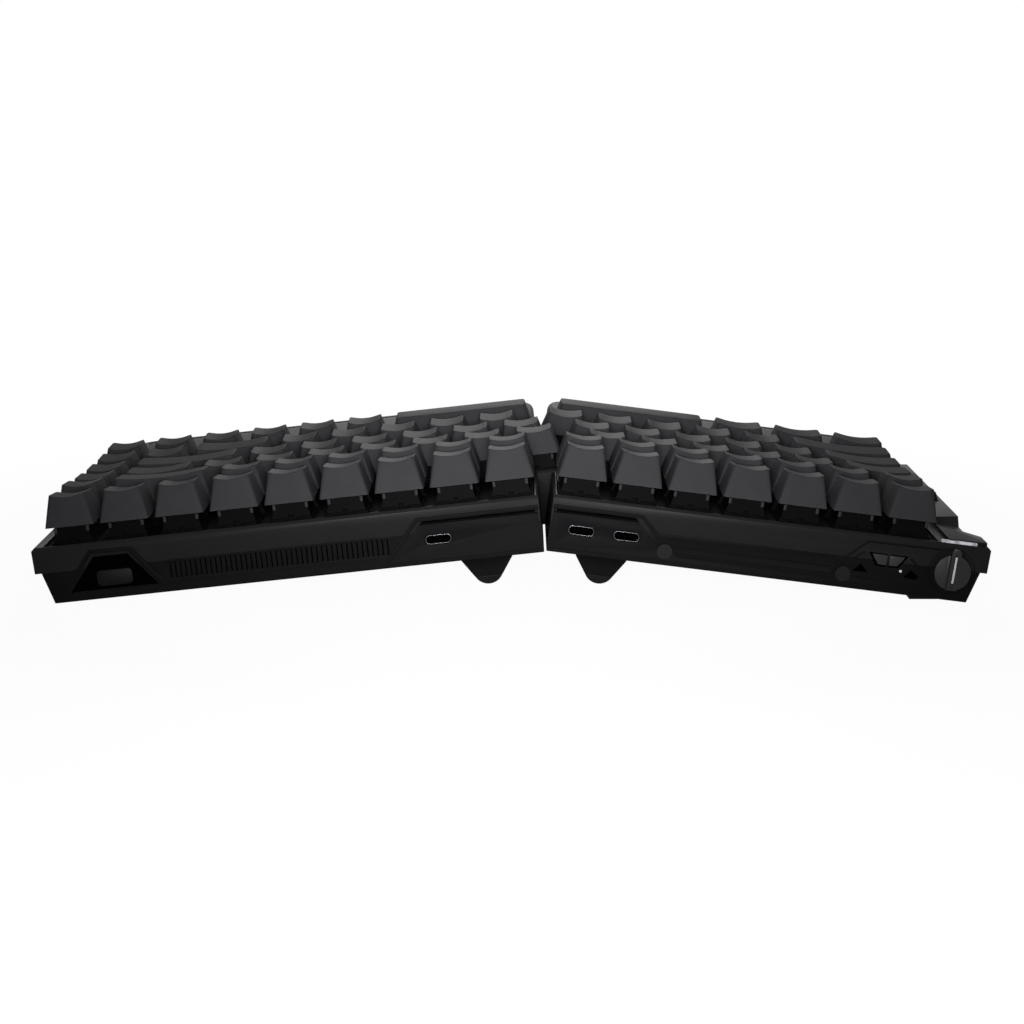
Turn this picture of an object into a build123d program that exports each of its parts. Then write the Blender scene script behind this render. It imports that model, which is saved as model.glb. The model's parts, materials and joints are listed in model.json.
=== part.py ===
from build123d import *
import math
import os

os.makedirs("parts", exist_ok=True)

# A split keyboard of 85 keys in two tented halves, each with its palm rest.
# Each half is drawn flat in its own frame and then tilted onto its outer edge:
# u runs outward from the middle of the keyboard, v from the rear row to the
# typist, and z up from the underside of the case.

# Key grid
key_pitch = 19.05
row_count = 6
left_columns = 7
right_columns = 9
left_row_start_shares = (0, 0, 0.5, 0.25, -0.25, 0)
right_row_start_shares = (0, 0, -0.5, -0.25, 0.25, 0)

# Stance on the desk
left_tent_angle = 7.19
right_tent_angle = 6.28
foot_line_gap = 0.7
left_corner_lift = 1.81
right_corner_lift = 0.4

# Case shell
case_height = 20.0
parting_drop = 1.4
edge_gap = 0.4
rear_border = 2.0
front_border = 4.0
right_side_border = 4.15
left_rail_side_border = 12.6
left_ear_side_border = 18.3
ear_length = 11.6
ear_chamfer = 5.4
frame_wall = 1.3
frame_chamfer = 0.9
deck_thickness = 1.8
field_clearance = 0.3
tray_wall = 2.0
tray_floor = 2.5
tray_step = 2.4
tray_taper = 3.0

# Switch plate and circuit board
plate_recess = 1.0
plate_thickness = 1.5
plate_clearance = 0.1
plate_joint = 0.3
plate_joint_row = 2
plate_ledge = 0.5
board_drop = 5.0
board_thickness = 1.6
board_clearance = 0.3

# Switch
switch_cutout = 14.0
switch_body = 13.8
switch_flange = 15.0
switch_flange_height = 0.9
switch_rise = 6.6
switch_top_width = 10.8
switch_bore_width = 7.4
switch_bore_depth = 6.0
switch_base_thickness = 1.0
slider_clearance = 0.2
slider_shoulder = 0.2
slider_stop_gap = 0.3
cross_length = 4.0
cross_arm = 1.3
cross_height = 3.2
seat_clearance = 0.05

# Keycap
cap_lift = 5.9
cap_base = 17.0
cap_top_width = 12.6
cap_rear_inset = 2.2
cap_front_inset = 2.0
cap_wall = 1.3
cap_roof = 1.5
cap_base_radius = 0.9
cap_top_radius = 1.7
cap_dish = 1.2
cap_boss_radius = 2.7
key_travel = 3.5
row_rear_heights = (11.1, 10.7, 8.9, 8.1, 7.9, 8.7)
row_front_heights = (9.9, 9.8, 8.6, 8.2, 8.4, 9.0)

# Stabiliser of a long key
short_stabilizer_reach = 11.94
long_stabilizer_reach = 19.05
stabilized_unit_share = 2
long_stabilized_unit_share = 3
stabilizer_width = 6.4
stabilizer_depth = 12.2
stabilizer_rise = 3.0
stabilizer_insert = 4.2
stabilizer_base_thickness = 0.6
stabilizer_wire = 1.6
stabilizer_wire_offset = 8.6
stabilizer_wire_rise = 1.2

# Case screws
screw_column = 2.5
screw_radius = 1.25
screw_head_radius = 2.5
screw_head_height = 1.4
screw_clearance = 0.2
screw_post_radius = 3.5
standoff_radius = 2.2
standoff_roof = 0.7
rear_cap_radius = 2.7
rear_cap_height = 0.8
rear_cap_recess = 0.5

# Palm rest
palm_gap = 0.3
palm_depth = 68.0
palm_base_lift = 3.0
palm_base_height = 11.0
palm_side_inset = 2.4
palm_pad_height = 7.6
palm_pad_inset = 0.5
palm_corner_radius = 9.0
palm_edge_radius = 3.4
palm_tongue_width = 22.0
palm_tongue_thickness = 3.0
palm_tongue_length = 6.0
palm_tongue_fit = 0.2
palm_tongue_lift = 5.0
palm_tongue_shares = (0.25, 0.75)

# Tenting feet: the rear one folds towards the typist, the front one towards the rear
foot_offset = 21.5
rear_foot_place = 28.3
front_foot_place = 100.0
foot_thickness = 4.4
foot_top_width = 18.4
foot_shoulder_drop = 10.5
foot_tip_radius = 5.4
foot_tip_rubber = 3.2
foot_barrel_radius = 2.4
foot_axis_height = 3.2
foot_pin_radius = 1.4
foot_pin_length = 2.2
foot_pin_clearance = 0.15
foot_side_clearance = 0.3
foot_end_clearance = 0.6
pocket_wall = 1.5
pocket_roof_clearance = 0.4

# Rubber pads
pad_width = 10.0
pad_length = 30.0
pad_inset = 2.0
pad_end_inset = 8.0

# Sockets in the rear wall
port_height = 8.3
port_width = 8.94
port_shell_height = 3.26
port_shell_wall = 0.3
port_round_share = 0.45
port_depth = 7.3
port_tongue_width = 6.7
port_tongue_thickness = 0.7
port_hole_clearance = 0.2
port_setback = 0.6
left_port_offsets = (11.4, 27.0)
right_port_offsets = (36.0,)
port_board_thickness = 1.2
port_board_length = 9.0
port_board_margin = 5.0

# Rear wall panels
panel_floor = 1.4
panel_top = 13.8
panel_groove = 1.5
panel_start = 1.2
left_panel_top_width = 29.5
right_panel_top_width = 41.0
panel_slant = 11.5
panel_recess = 0.5
strip_recess = 0.4
strip_start = 45.0
strip_end = 97.0
strip_bottom = 3.5
strip_top = 9.6
strip_slant = 4.0
window_center = 117.2
window_width = 13.8
window_height = 4.6
window_lift = 11.3
window_taper = 2.9
window_depth = 0.5
window_gap = 0.8
left_rear_cap_offsets = (40.6, 102.4)
left_rear_cap_height = 4.9
rib_start = 53.25
rib_pitch = 1.75
rib_count = 44
rib_groove = 0.9
rib_depth = 0.5
rib_bottom = 4.8
rib_top = 10.4
badge_center = 148.2
badge_lift = 7.3
badge_zone_width = 35.0
badge_zone_top_width = 15.0
badge_zone_bottom = 2.6
badge_zone_top = 17.0
badge_width = 12.4
badge_height = 5.6
badge_thickness = 0.9
badge_radius = 1.6

# Side rail of the left half
rail_start = 20.0
rail_end_margin = 1.5
rail_height = 4.3
rail_inner_offset = 3.8
rail_outer_inset = 0.6
rail_rear_slope = 5.0
rail_inner_drop = 0.9
ear_plate_height = 1.2
ear_plate_inset = 1.1
light_bar_start = 134.4
light_bar_length = 12.4
light_bar_depth = 1.4
light_bar_height = 0.8
light_bar_seat = 0.4

# Controls of the left half
dial_offset = 139.4
dial_rise = 0.2
dial_radius = 6.25
dial_recess_radius = 8.1
dial_recess_depth = 0.8
dial_base_thickness = 2.4
dial_fin_width = 3.4
dial_fin_height = 1.8
dial_fin_reach = 6.9
dial_fin_tail = 5.8
dial_line_width = 0.6
dial_line_depth = 0.3
dial_shaft_radius = 1.5
dial_shaft_length = 8.0
dial_clearance = 0.3
wheel_place = 56.0
wheel_radius = 6.6
wheel_width = 4.6
wheel_rise = 1.9
wheel_axle_radius = 1.1
wheel_axle_reach = 0.65
wheel_slot_clearance = 0.3
wheel_groove_count = 24
wheel_groove_radius = 0.4
button_place = 86.0
button_length = 11.0
button_width = 4.6
button_rise = 1.1
button_travel = 0.8
button_clearance = 0.3
button_flange_reach = 1.2
button_flange_height = 1.0

# Battery of the left half
battery_width = 56.0
battery_length = 36.0
battery_height = 6.0
battery_offset = 88.0
battery_place = 57.0
battery_gap = 0.2

# Circuit board parts
chip_width = 9.0
chip_height = 1.1
chip_place = 57.15
chip_offset = 66.7

# One overrun for every cut
overrun = 1.0

# Levels above the underside of the case
plate_top = case_height - plate_recess
plate_bottom = plate_top - plate_thickness
board_top = plate_top - board_drop
board_bottom = board_top - board_thickness
parting_height = board_bottom - parting_drop
dial_height = case_height / 2 + dial_rise
switch_top = plate_top + switch_rise
cap_bottom = case_height + cap_lift
field_depth = row_count * key_pitch
case_front = field_depth + front_border


class Half:
    """One half of the keyboard: its side, its key rows, its stance and its outer edge."""

    def __init__(self, name, side, columns, row_starts, tent_angle, corner_lift, outer_edge):
        self.name = name
        self.side = side
        self.columns = columns
        self.row_starts = [share * key_pitch for share in row_starts]
        self.outer_edge = outer_edge
        self.field_edge = columns * key_pitch
        self.front_edge = outer_edge[-1][0]
        rest_edge = self.front_edge - tray_step - tray_taper
        self.tent_angle = tent_angle
        self.tilt = math.radians(tent_angle)
        self.lift = corner_lift + rest_edge * math.sin(self.tilt)
        self.shift = foot_line_gap / 2 - edge_gap * math.cos(self.tilt)

    def at(self, u, v, z=0):
        return Pos(self.side * u, -v, z)

    def place(self, shape):
        stance = Pos(self.side * self.shift, 0, self.lift)
        return stance * Rot(0, self.side * self.tent_angle, 0) * shape

    def outline(self, inner, rear, front, outer_points):
        """Points round the half, with the stepped inner edge of the key rows."""
        points = [(self.row_starts[0] + inner, rear)]
        for row in range(row_count - 1):
            here, below = self.row_starts[row], self.row_starts[row + 1]
            if here == below:
                continue
            step = (row + 1) * key_pitch + math.copysign(inner, here - below)
            points.append((here + inner, step))
            points.append((below + inner, step))
        points.append((self.row_starts[-1] + inner, front))
        points += [(u, min(max(v, rear), front)) for u, v in reversed(outer_points)]
        return [(self.side * u, -v) for u, v in points]

    def face(self, inner, rear, front, outer_points, z=0):
        points = self.outline(inner, rear, front, outer_points)
        return Pos(0, 0, z) * make_face(Polyline(*points, close=True))

    def shell_face(self, z, inset=0, outer_inset=0):
        """The case outline at one height, drawn in by an inset."""
        outer = [(u - outer_inset - inset, v) for u, v in self.outer_edge]
        return self.face(edge_gap + inset, inset - rear_border, case_front - inset, outer, z)

    def field_face(self, z, inset=0):
        """The opening over the key field, drawn in by an inset."""
        edge = self.field_edge + field_clearance - inset
        outer = [(edge, -rear_border), (edge, case_front)]
        front = field_depth + field_clearance - inset
        rear = frame_wall - rear_border + inset
        return self.face(edge_gap + frame_wall + inset, rear, front, outer, z)

    def rear_prism(self, points, depth, setback=0):
        """A prism sunk into the rear wall from outline points in u and z."""
        flat = [(self.side * u, z, 0) for u, z in points]
        profile = make_face(Polyline(*flat, close=True))
        wall = Plane(origin=(0, rear_border - setback, 0), x_dir=(1, 0, 0), z_dir=(0, -1, 0))
        return extrude(wall * profile, depth)


left_outer_edge = [
    (left_columns * key_pitch + left_ear_side_border, -rear_border),
    (left_columns * key_pitch + left_ear_side_border, ear_length - rear_border),
    (left_columns * key_pitch + left_rail_side_border, ear_length + ear_chamfer - rear_border),
    (left_columns * key_pitch + left_rail_side_border, case_front),
]
right_outer_edge = [
    (right_columns * key_pitch + right_side_border, -rear_border),
    (right_columns * key_pitch + right_side_border, case_front),
]
left = Half(
    "left", -1, left_columns, left_row_start_shares,
    left_tent_angle, left_corner_lift, left_outer_edge,
)
right = Half(
    "right", 1, right_columns, right_row_start_shares,
    right_tent_angle, right_corner_lift, right_outer_edge,
)

# Key rows from the middle outward: the bank that a key moves with and its share of the pitch.
left_key_shares = [
    [("left_function_keys", 1)] * 7,
    [("left_number_keys", 1)] * 7,
    [("left_top_letter_keys", 1)] * 5 + [("tab_key", 1.5)],
    [("left_home_letter_keys", 1)] * 5 + [("caps_lock_key", 1.75)],
    [("left_bottom_letter_keys", 1)] * 5 + [("left_shift_key", 2.25)],
    [("left_space_key", 3.25)] + [("left_modifier_keys", 1.25)] * 3,
]
right_key_shares = [
    [("right_function_keys", 1)] * 9,
    [("right_number_keys", 1)] * 6 + [("backspace_key", 2), ("page_keys", 1)],
    [("right_top_letter_keys", 1)] * 7 + [("backslash_key", 1.5), ("page_keys", 1)],
    [("right_home_letter_keys", 1)] * 6 + [("enter_key", 2.25), ("page_keys", 1)],
    [("right_bottom_letter_keys", 1)] * 5
    + [("right_shift_key", 1.75), ("arrow_keys", 1), ("page_keys", 1)],
    [("right_space_key", 3)] + [("right_modifier_keys", 1)] * 3 + [("arrow_keys", 1)] * 3,
]


def key_places(half, rows):
    """Each key's bank, row, unit width and centre in u and v."""
    places = []
    for row, keys in enumerate(rows):
        edge = half.row_starts[row]
        for bank, units in keys:
            width = units * key_pitch
            places.append((bank, row, units, edge + width / 2, (row + 0.5) * key_pitch))
            edge += width
    return places


def stabilizer_reaches(units):
    """Offsets of a long key's stabilisers from its centre."""
    if units < stabilized_unit_share:
        return ()
    if units < long_stabilized_unit_share:
        return (-short_stabilizer_reach, short_stabilizer_reach)
    return (-long_stabilizer_reach, long_stabilizer_reach)


def box_up(width, depth, bottom, top):
    """A box centred in plan between two levels."""
    return Pos(0, 0, bottom) * Box(
        width, depth, top - bottom, align=(Align.CENTER, Align.CENTER, Align.MIN)
    )


def rod_up(radius, bottom, top):
    """An upright cylinder between two levels."""
    return Pos(0, 0, bottom) * Cylinder(
        radius, top - bottom, align=(Align.CENTER, Align.CENTER, Align.MIN)
    )


def cross(growth, bottom, top):
    """The cross that joins a slider to its keycap."""
    length = cross_length + 2 * growth
    arm = cross_arm + 2 * growth
    return box_up(length, arm, bottom, top) + box_up(arm, length, bottom, top)


def cap_shell(width, depth, rear_height, front_height, inset, bottom):
    """A tapered block whose top leans from the rear height to the front height."""
    side_taper = (cap_base - cap_top_width) / 2
    top_width = width - 2 * side_taper
    top_depth = depth - cap_rear_inset - cap_front_inset
    top_middle = (cap_front_inset - cap_rear_inset) / 2
    lean = math.degrees(math.atan2(rear_height - front_height, top_depth))
    base_radius = max(cap_base_radius - inset, cap_base_radius / 2)
    base = Pos(0, 0, bottom) * RectangleRounded(width - 2 * inset, depth - 2 * inset, base_radius)
    crest = Pos(0, top_middle, cap_bottom + (rear_height + front_height) / 2) * Rot(lean, 0, 0)
    top_radius = max(cap_top_radius - inset, cap_base_radius / 2)
    top = crest * RectangleRounded(top_width - 2 * inset, top_depth - 2 * inset, top_radius)
    return loft([base, top], ruled=True), crest, top_width


def keycap(units, row, dished):
    """A hollow cap with its boss over the switch and over each stabiliser."""
    width = units * key_pitch - (key_pitch - cap_base)
    rear_height = row_rear_heights[row]
    front_height = row_front_heights[row]
    body, crest, top_width = cap_shell(width, cap_base, rear_height, front_height, 0, cap_bottom)
    roof = cap_roof + cap_dish
    hollow, _, _ = cap_shell(
        width, cap_base, rear_height - roof, front_height - roof, cap_wall, cap_bottom - overrun
    )
    if dished:
        reach = top_width / 2
        bow = (reach**2 + cap_dish**2) / (2 * cap_dish)
        trough = Cylinder(bow, 2 * cap_base, rotation=(90, 0, 0))
        body -= crest * Pos(0, 0, bow - cap_dish) * trough
    shell = body - hollow
    boss_bottom = switch_top + slider_shoulder
    boss_top = cap_bottom + min(rear_height, front_height) - roof / 2
    for reach in (0, *stabilizer_reaches(units)):
        boss = rod_up(cap_boss_radius, boss_bottom, boss_top)
        socket_top = boss_bottom + cross_height + 2 * seat_clearance
        boss -= cross(seat_clearance, boss_bottom - overrun, socket_top)
        shell += Pos(reach, 0, 0) * boss
    return shell


def switch_slider():
    """The plunger that a keycap pushes down inside its switch."""
    shoulder = switch_top + slider_shoulder
    bottom = board_top + switch_base_thickness + key_travel + slider_stop_gap
    width = switch_bore_width - 2 * slider_clearance
    depth = switch_bore_depth - 2 * slider_clearance
    block = box_up(width, depth, bottom, shoulder)
    return block + cross(0, shoulder, shoulder + cross_height)


def stabilizer_slider():
    """The insert that keeps the end of a long keycap level."""
    shoulder = switch_top + slider_shoulder
    bottom = board_top + stabilizer_base_thickness + key_travel + slider_stop_gap
    block = box_up(stabilizer_insert, stabilizer_insert, bottom, shoulder)
    return block + cross(0, shoulder, shoulder + cross_height)


def switch_housing():
    """The fixed body of a switch, standing on the board through the plate."""
    lower = box_up(switch_body, switch_body, board_top, plate_top)
    flange_top = plate_top + switch_flange_height
    flange = box_up(switch_flange, switch_flange, plate_top, flange_top)
    foot = Pos(0, 0, flange_top) * Rectangle(switch_body, switch_body)
    crown = Pos(0, 0, switch_top) * Rectangle(switch_top_width, switch_top_width)
    upper = loft([foot, crown], ruled=True)
    bore_bottom = board_top + switch_base_thickness
    bore = box_up(switch_bore_width, switch_bore_depth, bore_bottom, switch_top + overrun)
    return lower + flange + upper - bore


def stabilizer_housing():
    """The fixed guide of one stabiliser insert."""
    top = plate_top + stabilizer_rise
    body = box_up(stabilizer_width, stabilizer_depth, board_top, top)
    bore = stabilizer_insert + 2 * slider_clearance
    floor = board_top + stabilizer_base_thickness
    return body - box_up(bore, bore, floor, top + overrun)


def stabilizer_wire_bar(reach):
    """The wire that ties two stabilisers together, beside the switch."""
    level = plate_top + stabilizer_wire_rise
    bar_length = 2 * reach + stabilizer_wire
    bar = Cylinder(stabilizer_wire / 2, bar_length, rotation=(0, 90, 0))
    bar = Pos(0, -stabilizer_wire_offset, level) * bar
    leg_length = stabilizer_wire_offset - stabilizer_depth / 2
    for side in (-1, 1):
        leg = Cylinder(stabilizer_wire / 2, leg_length, rotation=(90, 0, 0))
        bar += Pos(side * reach, -stabilizer_wire_offset + leg_length / 2, level) * leg
    return bar


def screw_places(half):
    """Four screws between the key rows, clear of the foot pockets."""
    inner = screw_column * key_pitch
    outer = half.field_edge - key_pitch
    last = (row_count - 1) * key_pitch
    return [(inner, key_pitch), (outer, key_pitch), (inner, last), (outer, last)]


def foot_places():
    """Each foot's name, its place and its folding way: 1 to the typist, -1 to the rear."""
    return [("rear", rear_foot_place, 1), ("front", front_foot_place, -1)]


def foot_tip_level(half):
    """Height of the centre of a foot's round tip, for it to stand on the desk."""
    drop = half.lift - foot_offset * math.sin(half.tilt)
    return (foot_tip_radius - drop) / math.cos(half.tilt)


def foot_profile(half):
    """The tongue of a foot in u and z about its own middle line."""
    tip = foot_tip_level(half)
    top = foot_axis_height
    shoulder = top - foot_shoulder_drop
    rise = shoulder - tip
    half_width = foot_top_width / 2
    span = math.hypot(half_width, rise)
    lean = math.atan2(rise, half_width) - math.acos(foot_tip_radius / span)
    touch_u = foot_tip_radius * math.cos(lean)
    touch_z = tip + foot_tip_radius * math.sin(lean)
    edge = [(half_width, top), (half_width, shoulder), (touch_u, touch_z)]
    points = edge + [(-u, z) for u, z in reversed(edge)]
    tongue = make_face(Polyline(*points, close=True))
    return tongue + Pos(0, tip) * Circle(foot_tip_radius)


def foot_solid(half, place):
    """A whole foot: tongue, hinge barrel and the two pins moulded on it."""
    upright = Plane(origin=(0, foot_thickness / 2, 0), x_dir=(1, 0, 0), z_dir=(0, -1, 0))
    tongue = extrude(upright * foot_profile(half), foot_thickness)
    axis = Pos(0, 0, foot_axis_height)
    barrel = axis * Cylinder(foot_barrel_radius, foot_top_width, rotation=(0, 90, 0))
    pin_span = foot_top_width + 2 * foot_pin_length
    pins = axis * Cylinder(foot_pin_radius, pin_span, rotation=(0, 90, 0))
    return half.at(foot_offset, place) * (tongue + barrel + pins)


def foot_cut_level(half):
    return foot_tip_level(half) - foot_tip_radius + foot_tip_rubber


def tenting_foot(half, place):
    """The hard upper part of a foot."""
    keep = box_up(2 * foot_top_width, 2 * foot_top_width, foot_cut_level(half), case_height)
    return foot_solid(half, place) & (half.at(foot_offset, place) * keep)


def foot_tip(half, place):
    """The rubber end of a foot that grips the desk."""
    keep = box_up(2 * foot_top_width, 2 * foot_top_width, -case_height, foot_cut_level(half))
    return foot_solid(half, place) & (half.at(foot_offset, place) * keep)


def pocket_box(half, place, fold, growth, top):
    """The room that a foot folds into, or the block round it."""
    width = foot_top_width + 2 * foot_side_clearance + 2 * growth
    reach = foot_axis_height - foot_tip_level(half) + foot_tip_radius + foot_end_clearance
    rear = foot_barrel_radius + foot_side_clearance
    length = rear + reach + 2 * growth
    middle = place + fold * (reach - rear) / 2
    bottom = -overrun if growth == 0 else 0
    return half.at(foot_offset, middle) * box_up(width, length, bottom, top)


def pocket_top():
    return foot_axis_height + foot_barrel_radius + pocket_roof_clearance


def panel_points(half, bottom, top):
    """The recessed port panel: square at its inner end, slanted at its outer end."""
    width = left_panel_top_width if half.side < 0 else right_panel_top_width
    slope = panel_slant / (panel_top - panel_floor)
    top_end = panel_start + width - (top - panel_top) * slope
    bottom_end = panel_start + width + (panel_top - bottom) * slope
    return [(panel_start, bottom), (panel_start, top), (top_end, top), (bottom_end, bottom)]


def port_offsets(half):
    return left_port_offsets if half.side < 0 else right_port_offsets


def port_bodies(half, width, height, depth, setback):
    """One rounded prism at each socket, sunk from the rear face."""
    wall = Plane(origin=(0, rear_border - setback, 0), x_dir=(1, 0, 0), z_dir=(0, -1, 0))
    profile = RectangleRounded(width, height, port_round_share * height)
    prism = extrude(wall * profile, depth)
    return [Pos(half.side * u, 0, port_height) * prism for u in port_offsets(half)]


def port_board_bottom():
    return port_height - port_shell_height / 2 - port_board_thickness


def badge_field(half):
    """The slanted shallow field at the outer end of the rear wall."""
    low_reach, top_reach = badge_zone_width / 2, badge_zone_top_width / 2
    points = [
        (badge_center - low_reach, badge_zone_bottom),
        (badge_center + low_reach, badge_zone_bottom),
        (badge_center + top_reach, badge_zone_top),
        (badge_center - top_reach, badge_zone_top),
    ]
    return half.rear_prism(points, strip_recess)


def window_panes(half):
    """The two panes of the window, which reach into both shells."""
    low = window_lift - window_height / 2
    high = window_lift + window_height / 2
    panes = []
    for side in (-1, 1):
        near = window_center + side * window_gap / 2
        far = window_center + side * window_width / 2
        points = [(near, low), (far - side * window_taper, low), (far, high), (near, high)]
        panes.append(half.rear_prism(points, window_depth))
    return panes


def rear_features(half):
    """Shallow pockets in the rear wall: strips, ribs, window and seats."""
    cuts = []
    if half.side < 0:
        strip = [
            (strip_start - strip_slant, strip_top),
            (strip_end + strip_slant, strip_top),
            (strip_end, strip_bottom),
            (strip_start, strip_bottom),
        ]
        cuts.append(half.rear_prism(strip, strip_recess))
        cuts += window_panes(half)
        seat = Cylinder(rear_cap_radius, 2 * rear_cap_recess, rotation=(90, 0, 0))
        for offset in left_rear_cap_offsets:
            cuts.append(Pos(half.side * offset, rear_border, left_rear_cap_height) * seat)
        cuts.append(dial_room(half))
    else:
        for rib in range(rib_count):
            near = rib_start + rib * rib_pitch
            groove = [(near, rib_bottom), (near + rib_groove, rib_bottom)]
            groove += [(near + rib_groove, rib_top), (near, rib_top)]
            cuts.append(half.rear_prism(groove, rib_depth))
        cuts.append(badge_field(half))
    return cuts


def bottom_case(half):
    """The lower tray: floor, walls, screw posts, foot pockets and port panel."""
    base = half.shell_face(0, 0, tray_step + tray_taper)
    rim = half.shell_face(parting_height, 0, tray_step)
    body = loft([base, rim], ruled=True)
    wall = half.rear_prism(panel_points(half, parting_height, panel_top), tray_wall)
    body += wall
    hollow = loft(
        [
            half.shell_face(tray_floor, tray_wall, tray_step + tray_taper),
            half.shell_face(parting_height, tray_wall, tray_step + tray_taper),
        ],
        ruled=True,
    )
    for _, place, fold in foot_places():
        hollow -= pocket_box(half, place, fold, pocket_wall, pocket_top() + pocket_wall)
    for u, v in screw_places(half):
        hollow -= half.at(u, v) * rod_up(screw_post_radius, 0, parting_height)
    for u in port_offsets(half):
        post = box_up(port_width, port_board_length / 2, 0, port_board_bottom())
        hollow -= half.at(u, port_board_length / 2) * post
    body -= hollow
    for u, v in screw_places(half):
        post = rod_up(screw_post_radius, parting_height - overrun, board_bottom)
        body += half.at(u, v) * post
    body -= half.rear_prism(panel_points(half, panel_floor, panel_top + overrun), panel_recess)
    hole = port_hole_clearance
    body -= port_bodies(
        half,
        port_width + 2 * hole,
        port_shell_height + 2 * hole,
        tray_wall + overrun,
        -overrun,
    )
    body -= rear_features(half)
    for _, place, fold in foot_places():
        body -= pocket_box(half, place, fold, 0, pocket_top())
        bore_length = foot_top_width + 2 * foot_pin_length + 2 * foot_side_clearance
        bore = Cylinder(foot_pin_radius + foot_pin_clearance, bore_length, rotation=(0, 90, 0))
        body -= half.at(foot_offset, place, foot_axis_height) * bore
    for u, v in screw_places(half):
        shank = rod_up(screw_radius + screw_clearance, -overrun, board_bottom + overrun)
        head = rod_up(screw_head_radius + screw_clearance, -overrun, screw_head_height)
        body -= half.at(u, v) * (shank + head)
    for u in palm_tongue_offsets(half):
        body -= palm_tongue(half, u, palm_tongue_fit)
    return body


def top_frame(half):
    """The upper rim with its chamfered edge, deck and plate ledge."""
    shoulder = case_height - frame_chamfer
    band = extrude(half.shell_face(parting_height), shoulder - parting_height)
    edge = loft([half.shell_face(shoulder), half.shell_face(case_height, frame_chamfer)], ruled=True)
    body = band + edge
    body -= extrude(half.field_face(plate_bottom), case_height)
    body -= extrude(half.field_face(parting_height - overrun, plate_ledge), case_height)
    under = loft(
        [
            half.shell_face(parting_height - overrun, frame_wall),
            half.shell_face(case_height - deck_thickness, frame_wall),
        ],
        ruled=True,
    )
    ledge = half.field_face(parting_height, -frame_wall)
    under -= extrude(ledge, case_height)
    body -= under
    points = panel_points(half, parting_height - overrun, panel_top + panel_groove)
    body -= half.rear_prism(points, tray_wall + overrun, -overrun)
    if half.side < 0:
        body -= rail_cuts(half)
        body -= light_bar(half)
        body -= dial_room(half)
        body -= window_panes(half)
    else:
        body -= badge_field(half)
    return body


def dial_room(half):
    """The round recess behind the dial and the hole of its shaft, through both shells."""
    seat = Cylinder(dial_recess_radius, 2 * dial_recess_depth, rotation=(90, 0, 0))
    hole_depth = 2 * (tray_wall + overrun)
    hole = Cylinder(dial_shaft_radius + dial_clearance, hole_depth, rotation=(90, 0, 0))
    return Pos(half.side * dial_offset, rear_border, dial_height) * (seat + hole)


def switch_plate(half, rows):
    """The two metal sheets that the switches snap into, with their threaded standoffs."""
    sheet = half.field_face(plate_bottom, plate_clearance)
    for _, _, units, u, v in key_places(half, rows):
        sheet -= half.at(u, v, plate_bottom) * Rectangle(switch_cutout, switch_cutout)
        for reach in stabilizer_reaches(units):
            slot = Rectangle(
                stabilizer_width + 2 * plate_clearance, stabilizer_depth + 2 * plate_clearance
            )
            sheet -= half.at(u + reach, v, plate_bottom) * slot
    joint = Rectangle(2 * half.field_edge, plate_joint)
    sheet -= half.at(half.field_edge / 2, plate_joint_row * key_pitch, plate_bottom) * joint
    body = extrude(sheet, plate_thickness)
    for u, v in screw_places(half):
        standoff = rod_up(standoff_radius, board_top, plate_bottom)
        bore = rod_up(screw_radius + seat_clearance, board_top, plate_bottom - standoff_roof)
        body += half.at(u, v) * (standoff - bore)
    return body


def circuit_board(half):
    """The main board under the switches and the small board of the sockets."""
    sheet = half.field_face(board_bottom, plate_ledge + board_clearance)
    for u, v in screw_places(half):
        sheet -= half.at(u, v, board_bottom) * Circle(screw_radius + screw_clearance)
    main = extrude(sheet, board_thickness)
    chip = box_up(chip_width, chip_width, board_bottom - chip_height, board_bottom)
    main += half.at(chip_offset, chip_place) * chip
    offsets = port_offsets(half)
    width = max(offsets) - min(offsets) + port_width + port_board_margin
    level = port_board_bottom()
    rear = tray_wall - rear_border + board_clearance
    port_board = half.at((max(offsets) + min(offsets)) / 2, rear + port_board_length / 2)
    port_board *= box_up(width, port_board_length, level, level + port_board_thickness)
    return [main, port_board]


def usb_sockets(half):
    """Metal socket shells with their contact tongues."""
    inner_height = port_shell_height - 2 * port_shell_wall
    shells = port_bodies(half, port_width, port_shell_height, port_depth, port_setback)
    mouths = port_bodies(
        half,
        port_width - 2 * port_shell_wall,
        inner_height,
        port_depth - port_shell_wall,
        port_setback,
    )
    tongues = port_bodies(
        half,
        port_tongue_width,
        port_tongue_thickness,
        port_depth - 2 * port_shell_wall,
        port_setback + port_shell_wall,
    )
    return [shell - mouth + tongue for shell, mouth, tongue in zip(shells, mouths, tongues)]


def case_screws(half):
    """Screws up through the tray into the plate, and the caps in the rear wall."""
    tip = plate_bottom - standoff_roof - screw_clearance
    head = rod_up(screw_head_radius, seat_clearance, screw_head_height - seat_clearance)
    slot = cross(0, -overrun, screw_head_height / 2)
    screw = head + rod_up(screw_radius, screw_head_height - seat_clearance, tip) - slot
    screws = [half.at(u, v) * screw for u, v in screw_places(half)]
    if half.side < 0:
        cap = Cylinder(rear_cap_radius - seat_clearance, rear_cap_height, rotation=(90, 0, 0))
        depth = rear_border - rear_cap_recess + rear_cap_height / 2
        for offset in left_rear_cap_offsets:
            screws.append(Pos(half.side * offset, depth, left_rear_cap_height) * cap)
    return screws


def palm_tongue_offsets(half):
    return [share * half.field_edge for share in palm_tongue_shares]


def palm_tongue(half, u, growth):
    """A tongue of the palm rest, or with growth the slot that takes it."""
    width = palm_tongue_width + 2 * growth
    length = palm_tongue_length + palm_gap + growth
    bottom = palm_tongue_lift - growth
    top = palm_tongue_lift + palm_tongue_thickness + growth
    place = case_front + palm_gap - length / 2
    return half.at(u, place) * box_up(width, length, bottom, top)


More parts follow.
